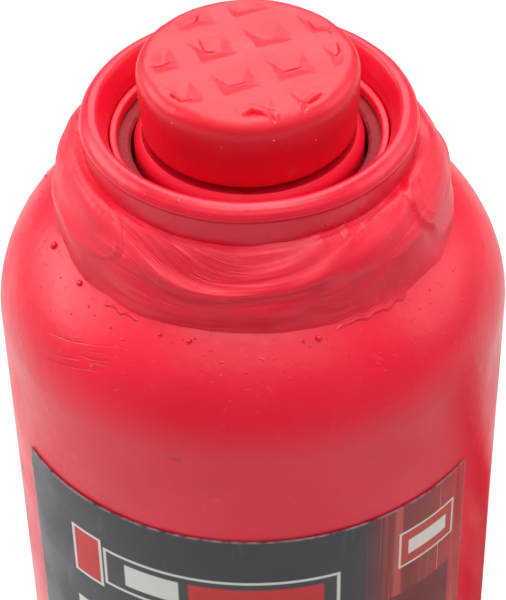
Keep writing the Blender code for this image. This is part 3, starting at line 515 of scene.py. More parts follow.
def make_collar():
    lip = [(16.75, 150.45), (16.95, 150.85), (17.25, 151.12), (17.6, 151.22), (18, 151.12), (18.4, 150.86),
           (18.75, 150.48), (18.98, 150.08), (19.05, 149.78), (19, 149.62), (18.9, 149.54)]
    outline = arc_points(lip, 0.15)[:-1] + arc_points([(18.9, 149.54), (18.84, 149.2), (18.8, 132)], 0.4)
    outline += [(18, 130.5), (18, 15.6), (14.5, 15.6), (14.5, 125.7), (15.9, 125.7)]
    outline += arc_points([(15.9, 140), (15.9, 147.8)], 0.8)
    outline += arc_points([(15.9, 147.8), (16.15, 149), (16.75, 150.45)], 0.3)[1:-1]

    def uneven(radius, height, angle):
        places = polar(radius, angle, height)
        top = smoothstep(138, 146, height)
        radius = radius + 0.035 * wave_noise(places / 3, 11, 3) * top
        return radius, height + 0.03 * wave_noise(places / 7, 12, 2) * top

    collar = lathe("neck_collar", outline, 420, smooth_angle=50, displace=uneven)
    finish_piece(collar, "base", "red_paint", paint("collar_paint", 0.34), "cylinder")


def azimuth_bump(angle, centre, half):
    """A smooth bump round the ring, 1 at its centre; all in degrees."""
    return bell((np.degrees(angle) - centre + 180) % 360 - 180, 0, half)


def spline(points, share):
    """Catmull-Rom curve through rows of control points, each an array over the azimuth."""
    points = [2 * points[0] - points[1], *points, 2 * points[-1] - points[-2]]
    count = len(points) - 3
    rows = []
    for value in share:
        index = min(int(value * count), count - 1)
        f = value * count - index
        p0, p1, p2, p3 = points[index:index + 4]
        rows.append(0.5 * (2 * p1 + (p2 - p0) * f + (2 * p0 - 5 * p1 + 4 * p2 - p3) * f ** 2
                           + (3 * p1 - p0 - 3 * p2 + p3) * f ** 3))
    return np.stack(rows)


def make_neck_weld():
    """The broad bead between collar and tank: pulled flow lines, a lapped start and a ragged toe."""
    rows, columns = 120, 1150
    angle, circle = ring(columns)
    slow = wave_noise(circle * 1.5, 21, 2)
    medium = wave_noise(circle * 5.5, 22, 3)
    fine = wave_noise(circle * 26, 23, 3)
    tongue = azimuth_bump(angle, 208, 17)
    high_side = azimuth_bump(angle, 312, 26)
    top = 146.75 + 0.13 * medium + 0.05 * fine - 0.35 * azimuth_bump(angle, 262, 24)
    toe = 23.3 - 0.7 * np.cos(angle - radians(190)) + 0.35 * azimuth_bump(angle, 232, 18)
    toe += 0.12 * medium + 0.10 * fine * (0.5 + 1.5 * azimuth_bump(angle, 312, 14))
    toe_height = shoulder_height(toe) - 0.06
    crest = 143.4 + 0.45 * high_side - 0.9 * azimuth_bump(angle, 250, 14) - 0.5 * tongue + 0.35 * slow
    swell = 0.10 * slow + 0.30 * tongue + 0.50 * azimuth_bump(angle, 312, 22)
    hollow = 0.55 * azimuth_bump(angle, 266, 26)
    even = np.ones(columns)
    radius_points = [18.7 * even, 20.1 * even, 21.45 + 0.5 * swell, 22.2 + swell, 22.5 + 0.8 * swell,
                     22.75 + 0.6 * (toe - 22.9), toe + 0.25]
    height_points = [top, top - 0.25 - 0.3 * hollow, crest + 1.35 - hollow, crest - 0.35, crest - 2,
                     toe_height + 0.85, shoulder_height(toe + 0.25) - 0.10]
    share = np.linspace(0, 1, rows)
    radius, height = spline(radius_points, share), spline(height_points, share)
    t, a = share[:, None], angle[None, :]
    cos_a, sin_a = np.cos(a) + 0 * t, np.sin(a) + 0 * t

    def flow_noise(down, round_it, seed, octaves):
        return wave_noise(np.stack([down + 0 * a, cos_a * round_it, sin_a * round_it], -1), seed, octaves)

    sweep = 0.42 * azimuth_bump(a, 272, 36) + 0.30 * azimuth_bump(a, 150, 30) + 0.34 * azimuth_bump(a, 40, 34)
    pulled = t - sweep * (1 - smoothstep(0.55, 0.85, t)) - 0.10 * np.sin(a * 2) * smoothstep(0.5, 0.9, t)
    lines = flow_noise(pulled * 17, 2.2, 31, 3)
    hairs = flow_noise(pulled * 62, 3, 32, 2)
    patches = smoothstep(-0.5, 0.6, flow_noise(t * 2.5, 3.5, 33, 2))
    lumps = flow_noise(pulled * 3, 4.2, 34, 2)
    inside = between(t, 0, 0.10, 0.9, 1)
    calm = 1 - 0.9 * azimuth_bump(a, 345, 17)
    ropes = np.sin(TURN * (pulled * 2.1 + 0.10 * cos_a + 0.12 * sin_a)) * smoothstep(-0.9, 0.4, lumps)
    relief = 0.28 * lumps + 0.25 * ropes + 0.06 * lines * (0.4 + patches) + 0.03 * hairs * patches
    relief *= inside * calm
    relief += tongue_relief(np.degrees(a), t) + lap_relief(np.degrees(a), t)
    radius = radius + 0.75 * relief
    height = height + 0.62 * relief
    radius = np.concatenate([radius, np.stack([toe - 0.6, 18.7 * even])])
    height = np.concatenate([height, np.stack([toe_height - 0.9, top - 3])])
    grid = polar(radius, a, height).reshape(-1, 3)
    weld = add_mesh("neck_weld", grid, grid_faces(rows + 2, columns, True, True), 75)
    flow = np.stack([pulled * 90, 4 * cos_a, 4 * sin_a], -1)
    flow = np.concatenate([flow, flow[-1:], flow[:1]]).reshape(-1, 3)
    weld.data.attributes.new("flow", "FLOAT_VECTOR", "POINT").data.foreach_set("vector", flow.ravel())
    finish_piece(weld, "base", "red_paint", weld_paint(), "neck_weld_bead")


def weld_paint():
    """Enamel over the bead, with fine lines that follow the way its metal was pulled; their crests carry a
    painted sheen of paler pink.
    """
    coat = Surface("weld_paint", PAINT, 0.44)
    coat.blotch(60, 4, 0.35, 0.75, 0.45, (0.52, 0.003, 0.018))
    flow = coat.nodes.new("ShaderNodeAttribute")
    flow.attribute_name = "flow"
    hairs = coat.noise(1, place=flow.outputs["Vector"])
    where = coat.ramp(coat.noise(130, 2), 0.42, 0.60)
    coat.bump(coat.times(coat.ramp(hairs, 0.40, 0.66), where), 0.035)
    # Painted sheen: the crests of the hairlines are tinted a paler pink.
    pale = coat.times(coat.ramp(hairs, 0.58, 0.70), coat.times(where, 0.28))
    coat.tint(pale, (0.86, 0.10, 0.13))
    coat.bump(coat.noise(700, 2), 0.03)
    coat.rough(120, 4, 0.38, 0.52)
    return coat.material


def tongue_relief(degrees, t):
    """A lobe of metal that was pulled over the bead and stops at a sharp groove."""
    edge = 229 - np.where(t < 0.4, 115, 190) * (t - 0.40) ** 2
    before = edge - degrees
    body = between(before, -0.6, 1.4, 8, 44) * between(t, 0.06, 0.24, 0.55, 0.70)
    lip = bell(before, 1.2, 1) * between(t, 0.1, 0.25, 0.45, 0.6)
    groove = bell(before, -1.2, 0.9) * between(t, 0.08, 0.2, 0.4, 0.55)
    ridge = bell(t, 0.60, 0.05) * between(before, 2, 8, 30, 55)
    return 0.16 * body + 0.06 * lip - 0.10 * groove + 0.06 * ridge


# Lap of the weld: azimuth in degrees and share of the way down the bead, and the bead's size in mm
LAP_CENTRE = (343, 0.37)
LAP_HALF = (18, 0.46)
LAP_END = (398, 0.86)
LAP_ZERO = 355
MM_PER_DEGREE = 0.385
BEAD_DEPTH = 11.5


def lap_rim():
    """Half an ellipse open to the right with a straight lower arm, in millimetres over the bead."""
    rim = []
    for turn in np.linspace(0, pi, 13):
        rim.append((LAP_CENTRE[0] - LAP_HALF[0] * sin(turn), LAP_CENTRE[1] - LAP_HALF[1] * cos(turn)))
    return [((azimuth - LAP_ZERO) * MM_PER_DEGREE, share * BEAD_DEPTH) for azimuth, share in rim + [LAP_END]]


def lap_relief(degrees, t):
    """The rounded end of the bead where it runs over its start, with two rims."""
    past = (degrees - LAP_ZERO + 180) % 360 - 180
    x, y = np.broadcast_arrays(past * MM_PER_DEGREE, t * BEAD_DEPTH)
    depth, _ = along_line(x, y, lap_rim())
    depth = np.where((x < -12.6) | (past > 60), -9, depth)
    body = smoothstep(-0.1, 1, depth)
    inner = bell(depth, 2, 0.34) * smoothstep(0.10, 0.22, t)
    relief = 0.26 * body + 0.14 * bell(depth, 0.55, 0.30) + 0.11 * inner - 0.12 * bell(depth, -0.32, 0.34)
    return relief * (1 - smoothstep(4, 36, past)) * between(t, 0, 0.05, 0.98, 1)


# Drops of weld spatter under the paint: azimuth in degrees, distance from the axis, size
SPATTER = (
    (197, 23.5, 0.50), (215, 23.5, 0.38), (245, 24, 0.24), (253, 24, 0.36), (283, 24, 0.20),
    (287, 24, 0.42), (222, 24.5, 0.16), (231, 25, 0.15), (259, 24.5, 0.14), (268, 26, 0.14),
    (98, 24.5, 0.45), (121, 25.5, 0.32), (64, 24, 0.38), (143, 24.5, 0.28), (20, 25, 0.30),
    (35, 26.5, 0.22), (160, 26, 0.20), (110, 27, 0.24), (301, 26.5, 0.13), (330, 27, 0.15),
)
COLLAR_DROPS = (
    (275, 147.5, 0.20), (295, 147.5, 0.22), (308, 148, 0.20), (302, 147, 0.17),
    (70, 147.5, 0.22), (135, 148.5, 0.18), (15, 147.5, 0.2), (182, 148, 0.16),
)


def make_spatter():
    places = [(azimuth, radius, float(shoulder_height(radius)), size) for azimuth, radius, size in SPATTER]
    places += [(azimuth, 18.78, height, size) for azimuth, height, size in COLLAR_DROPS]
    source = np.random.default_rng(61)
    for _ in range(90):
        radius = source.uniform(24.2, 27.6)
        azimuth = source.uniform(0, 360)
        places.append((azimuth, radius, float(shoulder_height(radius)), source.uniform(0.06, 0.12)))
    shape = bmesh.new()
    for azimuth, radius, height, size in places:
        stretch = Matrix.Diagonal((1, 1 + 0.2 * sin(azimuth * 7), 0.85, 1))
        add_ball(shape, azimuth, radius, height + 0.1 * size, size, 3 if size > 0.13 else 2, stretch)
    finish_piece(object_from("weld_spatter", shape), "base", "red_paint", paint("spatter_paint", 0.34))


# Pale dust specks on the side of the head: azimuth in degrees, height and size
HEAD_DUST = ((282, 155.2, 0.08), (256, 154.4, 0.05), (228, 155.6, 0.06), (305, 153.6, 0.05),
             (190, 154, 0.06), (120, 155, 0.06), (60, 153.2, 0.05), (340, 155.4, 0.06))


def make_head_dust():
    shape = bmesh.new()
    for azimuth, height, size in HEAD_DUST:
        add_ball(shape, azimuth, 12.38, height, size)
    dust = Surface("dust", (0.82, 0.62, 0.60), 0.6)
    dust.blotch(900, 3, 0.4, 0.7, 1, (0.70, 0.42, 0.42))
    finish_piece(object_from("head_dust", shape), "extension_screw", "red_paint", dust.material)


# A tear in the thick paint near the weld: azimuths in degrees and distance from the axis
PAINT_TEAR_SPAN = (226, 237.5)
PAINT_TEAR_RADIUS = 23.55


def strip_on_shoulder(shape, points, profile):
    """Lay a narrow strip on the tank's shoulder; its profile is (offset, height) across the line."""
    rows = []
    for index, (azimuth, distance) in enumerate(points):
        ends = 0.15 if index in (0, len(points) - 1) else 1
        row = []
        for offset, height in profile:
            radius = distance + offset * ends
            up = float(shoulder_height(radius)) + height * ends
            row.append(shape.verts.new(Vector(polar(radius, radians(azimuth), up)) * MM))
        rows.append(row)
    for row, following in zip(rows, rows[1:]):
        for side in range(len(profile) - 1):
            shape.faces.new((row[side], following[side], following[side + 1], row[side + 1]))


def make_paint_tear():
    """The lifted edge of a tear in the paint, a dark strip under it as painted shadow, and one dark fleck."""
    wander = np.random.default_rng(23).uniform(-0.2, 0.2, 10)
    places = zip(np.linspace(*PAINT_TEAR_SPAN, 10), PAINT_TEAR_RADIUS + wander)
    line = [(azimuth + 0.35 * sin(azimuth * 9), distance) for azimuth, distance in places]
    lip, shadow_strip_and_fleck = bmesh.new(), bmesh.new()
    strip_on_shoulder(lip, line, [(-0.30, -0.03), (-0.16, 0.07), (-0.06, 0.10), (0, 0.05), (0.02, -0.03)])
    # The dark strip under the lifted edge is a painted shadow; the ball added next is a real dark fleck.
    strip_on_shoulder(shadow_strip_and_fleck, line, [(0, -0.02), (0.01, 0.025), (0.05, 0.02), (0.07, -0.02)])
    add_ball(shadow_strip_and_fleck, 302.2, 23, float(shoulder_height(23)) + 0.05, 0.26)
    for name, shape, material in (("paint_tear_lip", lip, paint("tear_paint", 0.34)),
                                  ("paint_tear_line", shadow_strip_and_fleck, rubber("tear_shadow_and_fleck", (0.10, 0.004, 0.008)))):
        bmesh.ops.recalc_face_normals(shape, faces=shape.faces)
        finish_piece(object_from(name, shape), "base", "red_paint", material)


# ---- ram and saddle

HEAD_TOP = 157.6
PIT_PITCH = 6.6
PIT_HALF = 2.45
PIT_DEPTH = 0.70
PIT_TURN = radians(22)
PIT_CENTRE = (0.45, -0.05)

# Creases and folds in the thick paint on the saddle: points, ridge height, ridge width, groove depth
PAINT_FOLDS = (
    (((-1, -10.1), (0.3, -9.2), (1.5, -9.5), (3.2, -11)), 0.40, 0.42, 0.42),
    (((5.3, -9.7), (6, -8.2), (7.7, -6.5)), 0.36, 0.34, 0.42),
    (((-9.5, -5.2), (-8.2, -6.3), (-7, -7.5), (-6, -6.7)), 0.22, 0.16, 0.24),
    (((-10.6, -1.2), (-9.6, -0.5), (-8.4, -0.1)), 0.10, 0.15, 0.26),
    (((-10.4, 2), (-10.9, 0.4), (-10.6, -1.2)), 0.12, 0.16, 0.05),
    (((-2.2, -4.5), (-1.2, -4.2), (-0.2, -3.8)), 0.07, 0.14, 0.20),
    (((3.6, -2.3), (4.8, -1.7), (5.9, -1.3)), 0.07, 0.14, 0.24),
    (((-5.3, 3.6), (-4.6, 1.9), (-3.2, 2)), 0.08, 0.14, 0.16),
    (((1.9, 4.2), (2.7, 4.4), (3.5, 4.7)), 0.07, 0.20, 0.10),
    (((10.1, 2.4), (10.3, 1), (9.9, 0.2), (9.5, -0.2)), 0.16, 0.15, 0.22),
    (((7, 7.2), (7.7, 5.7), (8.8, 5), (9.6, 4)), 0.14, 0.15, 0.28),
    (((-5.3, 8.6), (-5.5, 7.8), (-5.9, 7)), 0.05, 0.13, 0.34),
)


def along_line(x, y, points):
    """Distance to a polyline, signed so that its near side is positive, and the share left near its ends."""
    best = np.full(x.shape, 1e9)
    signed = np.zeros(x.shape)
    lengths = [dist(a, b) for a, b in zip(points, points[1:])]
    passed, place = 0, np.zeros(x.shape)
    for (x0, y0), (x1, y1), length in zip(points, points[1:], lengths):
        dx, dy = (x1 - x0) / length, (y1 - y0) / length
        share = np.clip((x - x0) * dx + (y - y0) * dy, 0, length)
        off_x, off_y = x - x0 - share * dx, y - y0 - share * dy
        distance = np.hypot(off_x, off_y)
        side = np.sign(off_x * dy - off_y * dx)
        nearer = distance < best
        best = np.where(nearer, distance, best)
        signed = np.where(nearer, distance * side, signed)
        place = np.where(nearer, passed + share, place)
        passed += length
    taper = np.clip(np.minimum(place, passed - place) / (0.25 * passed), 0, 1)
    return signed, np.sqrt(taper)


def head_relief(x, y):
    """Height of the waffle's pits and of the paint's folds against the head's flat top."""
    px, py = x - PIT_CENTRE[0], y - PIT_CENTRE[1]
    across = px * cos(PIT_TURN) + py * sin(PIT_TURN)
    along = -px * sin(PIT_TURN) + py * cos(PIT_TURN)
    cell_u, cell_v = np.floor(across / PIT_PITCH) + 0.5, np.floor(along / PIT_PITCH) + 0.5
    u, v = across - cell_u * PIT_PITCH, along - cell_v * PIT_PITCH
    cells = np.abs([cell_u, cell_v])
    empty = (cells.max(0) > 2) | (cells.min(0) > 1)
    flat = np.stack([x, y], -1)
    wander = 0.10 * wave_noise(flat / 1.6, 41, 2)
    side_slope = (PIT_HALF - np.abs(u) + wander) / 1.65
    end_slope = (PIT_HALF - np.abs(v) + wander) / 2.2
    slope = np.clip(np.minimum(side_slope, end_slope), 0, 1.2)
    pit = PIT_DEPTH * (slope - 0.12 * smoothstep(0.8, 1.2, slope))
    soft = 0.3
    pit = np.where(slope < soft, PIT_DEPTH * slope ** 2 / (2 * soft), pit - PIT_DEPTH * soft / 2)
    radius = np.hypot(x, y)
    pit *= 1 - smoothstep(9.3, 11.7, radius)
    height = -np.where(empty, 0, np.maximum(pit, 0))
    for points, ridge, width, groove in PAINT_FOLDS:
        signed, taper = along_line(x, y, points)
        height += taper * 0.7 * ridge * np.exp(-(signed / (1.15 * width)) ** 2)
        height -= taper * 1.2 * groove * np.exp(-((signed - 1.3 * width) / (0.4 * width)) ** 2)
    height += 0.03 * wave_noise(flat / 2.4, 44, 3) + 0.012 * wave_noise(flat / 0.7, 45, 2)
    return height


def make_saddle():
    outline = [(float(radius), HEAD_TOP) for radius in np.linspace(0, 10.6, 132)[1:-1]]
    outline += [(10.9, 157.57), (11.15, 157.5), (11.4, 157.39), (11.62, 157.25), (11.82, 157.08),
                (12, 156.88), (12.14, 156.66), (12.26, 156.4), (12.34, 156.12), (12.38, 155.8)]
    outline += arc_points([(12.4, 155.4), (12.3, 153), (12.05, 149.4)], 0.5)
    outline += [(12, 149), (11.85, 148.75), (11.6, 148.6), (11.3, 148.55), (6.3, 148.5)]
    segments = 800
    radius, height, angle = around(outline, segments)
    facing_up = smoothstep(HEAD_TOP - 1.2, HEAD_TOP - 0.5, height)
    height = height + head_relief(radius * np.cos(angle), radius * np.sin(angle)) * facing_up
    wobble = wave_noise(polar(radius, angle, height) / 4, 43, 3)
    radius = radius + 0.07 * wobble * smoothstep(9, 12, radius)
    rim = polar(radius, angle, height).reshape(-1, 3)
    vertices = np.concatenate([rim, [[0, 0, HEAD_TOP], [0, 0, SADDLE_UNDERSIDE]]])
    faces = grid_faces(len(outline), segments, False, True)
    top, bottom = len(rim), len(rim) + 1
    last = (len(outline) - 1) * segments
    for column in range(segments):
        beside = (column + 1) % segments
        faces.append((top, column, beside))
        faces.append((bottom, last + beside, last + column))
    head = add_mesh("saddle_head", vertices, faces, 75)
    finish = paint("saddle_paint", 0.38, colour=(0.78, 0.004, 0.019), gloss=0.48)
    finish_piece(head, "extension_screw", "red_paint", finish, "extension_screw")
    make_screw_shank()
    make_screw_tail()


def make_screw_tail():
    """The plain end of the screw below its thread, with the shoulder that keeps the stop ring on."""
    outline = [(0, 78.4), (5.2, 78.4), (5.2, 72.6), (6.2, 72.2), (6.05, 71.6), (5, 71), (0, 71)]
    tail = lathe("screw_tail", outline, 96)
    finish_piece(tail, "extension_screw", "bright_steel", metal("tail_steel", (0.5, 0.5, 0.52), 0.3))


def make_screw_shank():
    """The threaded shank under the head, turned from one helical section."""
    per_turn, turns = 48, 18
    section = [(6.4, -1), (8, -0.6), (8, 0.6), (6.4, 1)]
    wide, count = len(section), per_turn * turns
    vertices = []
    for step in range(count + 1):
        angle = TURN * step / per_turn
        for radius, offset in section:
            height = 80.1 + THREAD_PITCH * (step / per_turn - 1) + offset
            height = min(max(height, 78.1), SADDLE_UNDERSIDE + 0.2)
            vertices.append((radius * cos(angle), radius * sin(angle), height))
    faces = []
    for start in range(0, count * wide, wide):
        after, above = start + wide, start + per_turn * wide
        for side in range(wide - 1):
            faces.append((start + side, after + side, after + side + 1, start + side + 1))
        if above < count * wide:
            faces.append((start + wide - 1, after + wide - 1, above + wide, above))
    shank = add_mesh("screw_shank", vertices, faces, 30)
    finish_piece(shank, "extension_screw", "bright_steel", metal("shank_steel", (0.42, 0.41, 0.40), 0.3))


def make_ram():
    outline = [(8.45, 147.7), (11.8, 147.7), (12, 147.85), (12.15, 147.95), (12.35, 147.9), (12.9, 147.2),
               (13, 146.9)]
    outline += arc_points([(13, 146.4), (13, 34.3)], 4)
    outline += [(14.2, 33.7), (14.2, 29.5), (8, 29.5), (8, 17.3), (0, 17.3), (0, 56), (9.3, 60),
                (9.3, 136.1), (8.45, 136.1)]
    ram = lathe("ram_rod", outline, 220)
    finish_piece(ram, "ram", "red_paint", paint("ram_paint", 0.5, gloss=0.25), "ram")


def make_top_nut():
    outer, bore = 15.6, 13.45
    outline = arc_points([(outer, NUT_TOP), (outer, 126)], 4)
    outline += arc_points([(bore, 126), (bore, 146.1)], 4)
    outline += arc_points([(13.75, NUT_TOP), (outer, NUT_TOP)], 0.12)[:-1]

    def sandy(radius, height, angle):
        grain = wave_noise(polar(radius, angle, height) / 0.35, 51, 3)
        return radius, height + 0.045 * grain * (height > NUT_TOP - 0.2)

    nut = lathe("top_nut_face", outline, 900, displace=sandy)
    # Sandy paint whose base colour is darkened far below the other paint as painted shade for the nut's
    # recess under the collar's lip.
    rough_shaded_paint = paint("nut_paint_shaded", 0.7, grain=0.06, colour=(0.27, 0.018, 0.027), gloss=0.3)
    finish_piece(nut, "base", "red_paint", rough_shaded_paint, "top_nut")
    ring = [(15.75, 147.9), (15.75, 146.5), (14.85, 146.5), (14.85, 147.3), (15, 147.75)]
    retainer = lathe("retaining_ring", softened(ring, 0.25), 300)
    finish_piece(retainer, "base", "red_paint", paint("ring_paint", 0.4), "top_nut_retaining_ring")


# ---- label

LABEL_CENTRE = 266
LABEL_HALF = 58
LABEL_BOTTOM, LABEL_TOP = 50, 112
LABEL_RADIUS = 30.34


def label_paint():
    """Slate film print with generic bars, a badge outline and warm streaks, all drawn by position."""
    coat = Surface("label_print", (0.040, 0.042, 0.052), 0.34, gloss=0.32)
    azimuth, up = coat.azimuth_and_height()
    along = coat.times(coat.math("ADD", azimuth, pi / 2), LABEL_RADIUS)
    warm = coat.ramp(along, 11.5, 17)

    def inside(value, low, high, soft=0.12):
        return coat.times(coat.ramp(value, low - soft, low + soft),
                          coat.ramp(value, high - soft, high + soft, 1, 0))

    def streaks(across, offset, low, high):
        place = coat.vector(coat.times(along, across), coat.times(up, 0.012), offset)
        return coat.times(coat.ramp(coat.noise(1, 1, place=place), low, high), warm)

    coat.tint(streaks(0.30, 1.3, 0.28, 0.46), (0.24, 0.022, 0.024))
    coat.tint(coat.ramp(along, 21, 27, 0, 0.75), (0.52, 0.022, 0.028))
    coat.tint(streaks(0.55, 4.1, 0.44, 0.62), (0.52, 0.08, 0.065))
    coat.tint(streaks(2.1, 7.7, 0.66, 0.74), (0.80, 0.24, 0.14))
    pale, red, dark = (0.72, 0.70, 0.66), (0.62, 0.02, 0.02), (0.05, 0.05, 0.055)
    for left, right, low, high, colour in (
        (-19.6, 9.6, 99, 105.2, pale), (-19.2, 9.2, 99.4, 104.8, dark), (-24.6, -19.9, 98, 106.2, pale),
        (-24.2, -20.3, 98.4, 105.8, red), (-16.6, -9.6, 100.3, 103.9, pale), (-8.4, 7.6, 100.3, 103.9, red),
        (17.4, 26.4, 101.6, 107.6, pale), (17.7, 26.1, 101.9, 107.3, (0.50, 0.05, 0.03)),
        (18.8, 25, 103.4, 105.8, pale), (-9.5, 7.4, 96.4, 97.4, pale), (-24.6, 8, 88.6, 93.4, pale),
        (-24.6, -2, 81, 85, pale), (1.5, 8, 81, 85, (0.75, 0.20, 0.10)),
        (12, 26, 74, 97, (0.16, 0.02, 0.02)), (13, 25, 75, 80, pale),
        (-24.6, 26, 56, 56.8, pale), (-24.6, 26, 70, 70.6, pale), (-24.6, -14, 59, 67, red),
        (-12, 8, 64.6, 66.4, pale), (-12, 3, 60.6, 62.4, pale), (11, 26, 59.6, 61.6, pale),
    ):
        coat.tint(coat.times(inside(along, left, right), inside(up, low, high)), colour)
    left_edge = radians(LABEL_CENTRE - LABEL_HALF - 270) * LABEL_RADIUS
    right_edge = radians(LABEL_CENTRE + LABEL_HALF - 270) * LABEL_RADIUS
    border = coat.math("MAXIMUM", inside(along, left_edge - 1, left_edge + 0.25, 0.05),
                       inside(along, right_edge - 0.25, right_edge + 1, 0.05))
    border = coat.math("MAXIMUM", border, coat.ramp(up, LABEL_TOP - 0.16, LABEL_TOP - 0.12))
    worn = coat.ramp(coat.noise(900, 4), 0.3, 0.6)
    coat.tint(coat.times(border, worn), (0.26, 0.20, 0.20))
    scuff = coat.ramp(coat.noise(420, 5, (1, 1, 0.25)), 0.62, 0.72)
    coat.tint(coat.times(scuff, 0.05), (0.55, 0.55, 0.55))
    coat.bump(coat.noise(380, 2), 0.02)
    coat.rough(160, 4, 0.28, 0.42)
    return coat.material


def make_label():
    """A printed film that follows the tank."""
    columns, rows = 220, 90
    azimuth = np.radians(np.linspace(LABEL_CENTRE - LABEL_HALF, LABEL_CENTRE + LABEL_HALF, columns))[None, :]
    height = np.linspace(LABEL_BOTTOM, LABEL_TOP, rows)[:, None]
    swell = 0.012 * wave_noise(np.stack(np.broadcast_arrays(azimuth * 6, height / 9), -1), 71, 2)
    layers = [polar(30.06 + offset + swell, azimuth, height).reshape(-1, 3) for offset in (0.24, 0.02)]
    front = grid_faces(rows, columns, False, False)
    back = rows * columns
    faces = [face[::-1] for face in front] + [tuple(index + back for index in face) for face in front]
    rim = [*range(columns), *range(2 * columns - 1, back, columns), *range(back - 2, back - columns - 1, -1),
           *range(back - 2 * columns, 0, -columns)]
    for start, following in zip(rim, rim[1:] + rim[:1]):
        faces.append((start, following, following + back, start + back))
    film = clean(add_mesh("label_film", np.concatenate(layers), faces))
    finish_piece(film, "base", "label_print", label_paint(), "label")


# ---- cast base

def corner_outline(corners, steps=14):
    """Plan outline from (x, y, rounding) corners."""
    points = []
    count = len(corners)
    for index, (x, y, radius) in enumerate(corners):
        here = Vector((x, y))
        before = (Vector(corners[index - 1][:2]) - here).normalized()
        after = (Vector(corners[(index + 1) % count][:2]) - here).normalized()
        half = before.angle(after) / 2
        reach = radius / tan(half)
        centre = here + (before + after).normalized() * (radius / sin(half))
        start = here + before * reach - centre
        sweep = start.angle_signed(here + after * reach - centre)
        for step in range(steps + 1):
            turned = Matrix.Rotation(-sweep * step / steps, 2) @ start
            points.append(centre + turned)
    return points


def stacked(name, outline, layers, spacing=2, wobble=0):
    """Loft a plan outline through (inset, height) layers and close both ends."""
    outline = [Vector(point) for point in outline]
    total = []
    for point, following in zip(outline, outline[1:] + outline[:1]):
        pieces = max(1, ceil((following - point).length / spacing))
        total += [point.lerp(following, step / pieces) for step in range(pieces)]
    total = [point for index, point in enumerate(total) if (point - total[index - 1]).length > 0.0005]
    plan = np.array([tuple(point) for point in total])
    ahead, behind = np.roll(plan, -1, 0), np.roll(plan, 1, 0)
    tangent = ahead - behind
    tangent /= np.linalg.norm(tangent, axis=1)[:, None]
    area = np.sum(plan[:, 0] * ahead[:, 1] - ahead[:, 0] * plan[:, 1])
    inward = np.stack([-tangent[:, 1], tangent[:, 0]], -1) * copysign(1, area)
    grid = np.stack([np.column_stack([plan + inward * inset, np.full(len(plan), height)])
                     for inset, height in layers])
    if wobble:
        grid[1:-1] += (wave_noise(grid / 9, 7, 3)[..., None] * wobble)[1:-1] * [1, 1, 0.4]
    rows, columns = len(layers), len(plan)
    faces = grid_faces(rows, columns, False, True)
    faces.append(tuple(range(columns)))
    faces.append(tuple(reversed(range((rows - 1) * columns, rows * columns))))
    return clean(add_mesh(name, grid.reshape(-1, 3), faces))


def rounded_layers(bottom, top, rounding, steps=6, bottom_rounding=0.6):
    layers = []
    for angle in np.linspace(0, pi / 2, 4):
        layers.append((bottom_rounding * (1 - sin(angle)), bottom + bottom_rounding * (1 - cos(angle))))
    count = max(2, int((top - bottom) / 3))
    straight = top - bottom - rounding - bottom_rounding
    layers += [(0, bottom + bottom_rounding + straight * step / count) for step in range(1, count)]
    for angle in np.linspace(0, pi / 2, steps + 1):
        layers.append((rounding * (1 - cos(angle)), top - rounding * (1 - sin(angle))))
    return layers


def side_plate(name, outline, thickness, centre, rounding, spacing):
    """A flat plate in the XZ plane with eased edges, centred on its Y."""
    half = thickness / 2
    layers = [(rounding, -half), (rounding * 0.3, -half + rounding * 0.3), (0, -half + rounding),
              (0, half - rounding), (rounding * 0.3, half - rounding * 0.3), (rounding, half)]
    return shift(stacked(name, outline, layers, spacing), centre, UPRIGHT)


FOOT_CORNERS = ((-42, -39, 14), (44, -39, 14), (80, -30, 6), (80, 30, 6), (44, 39, 14), (-42, 39, 14))


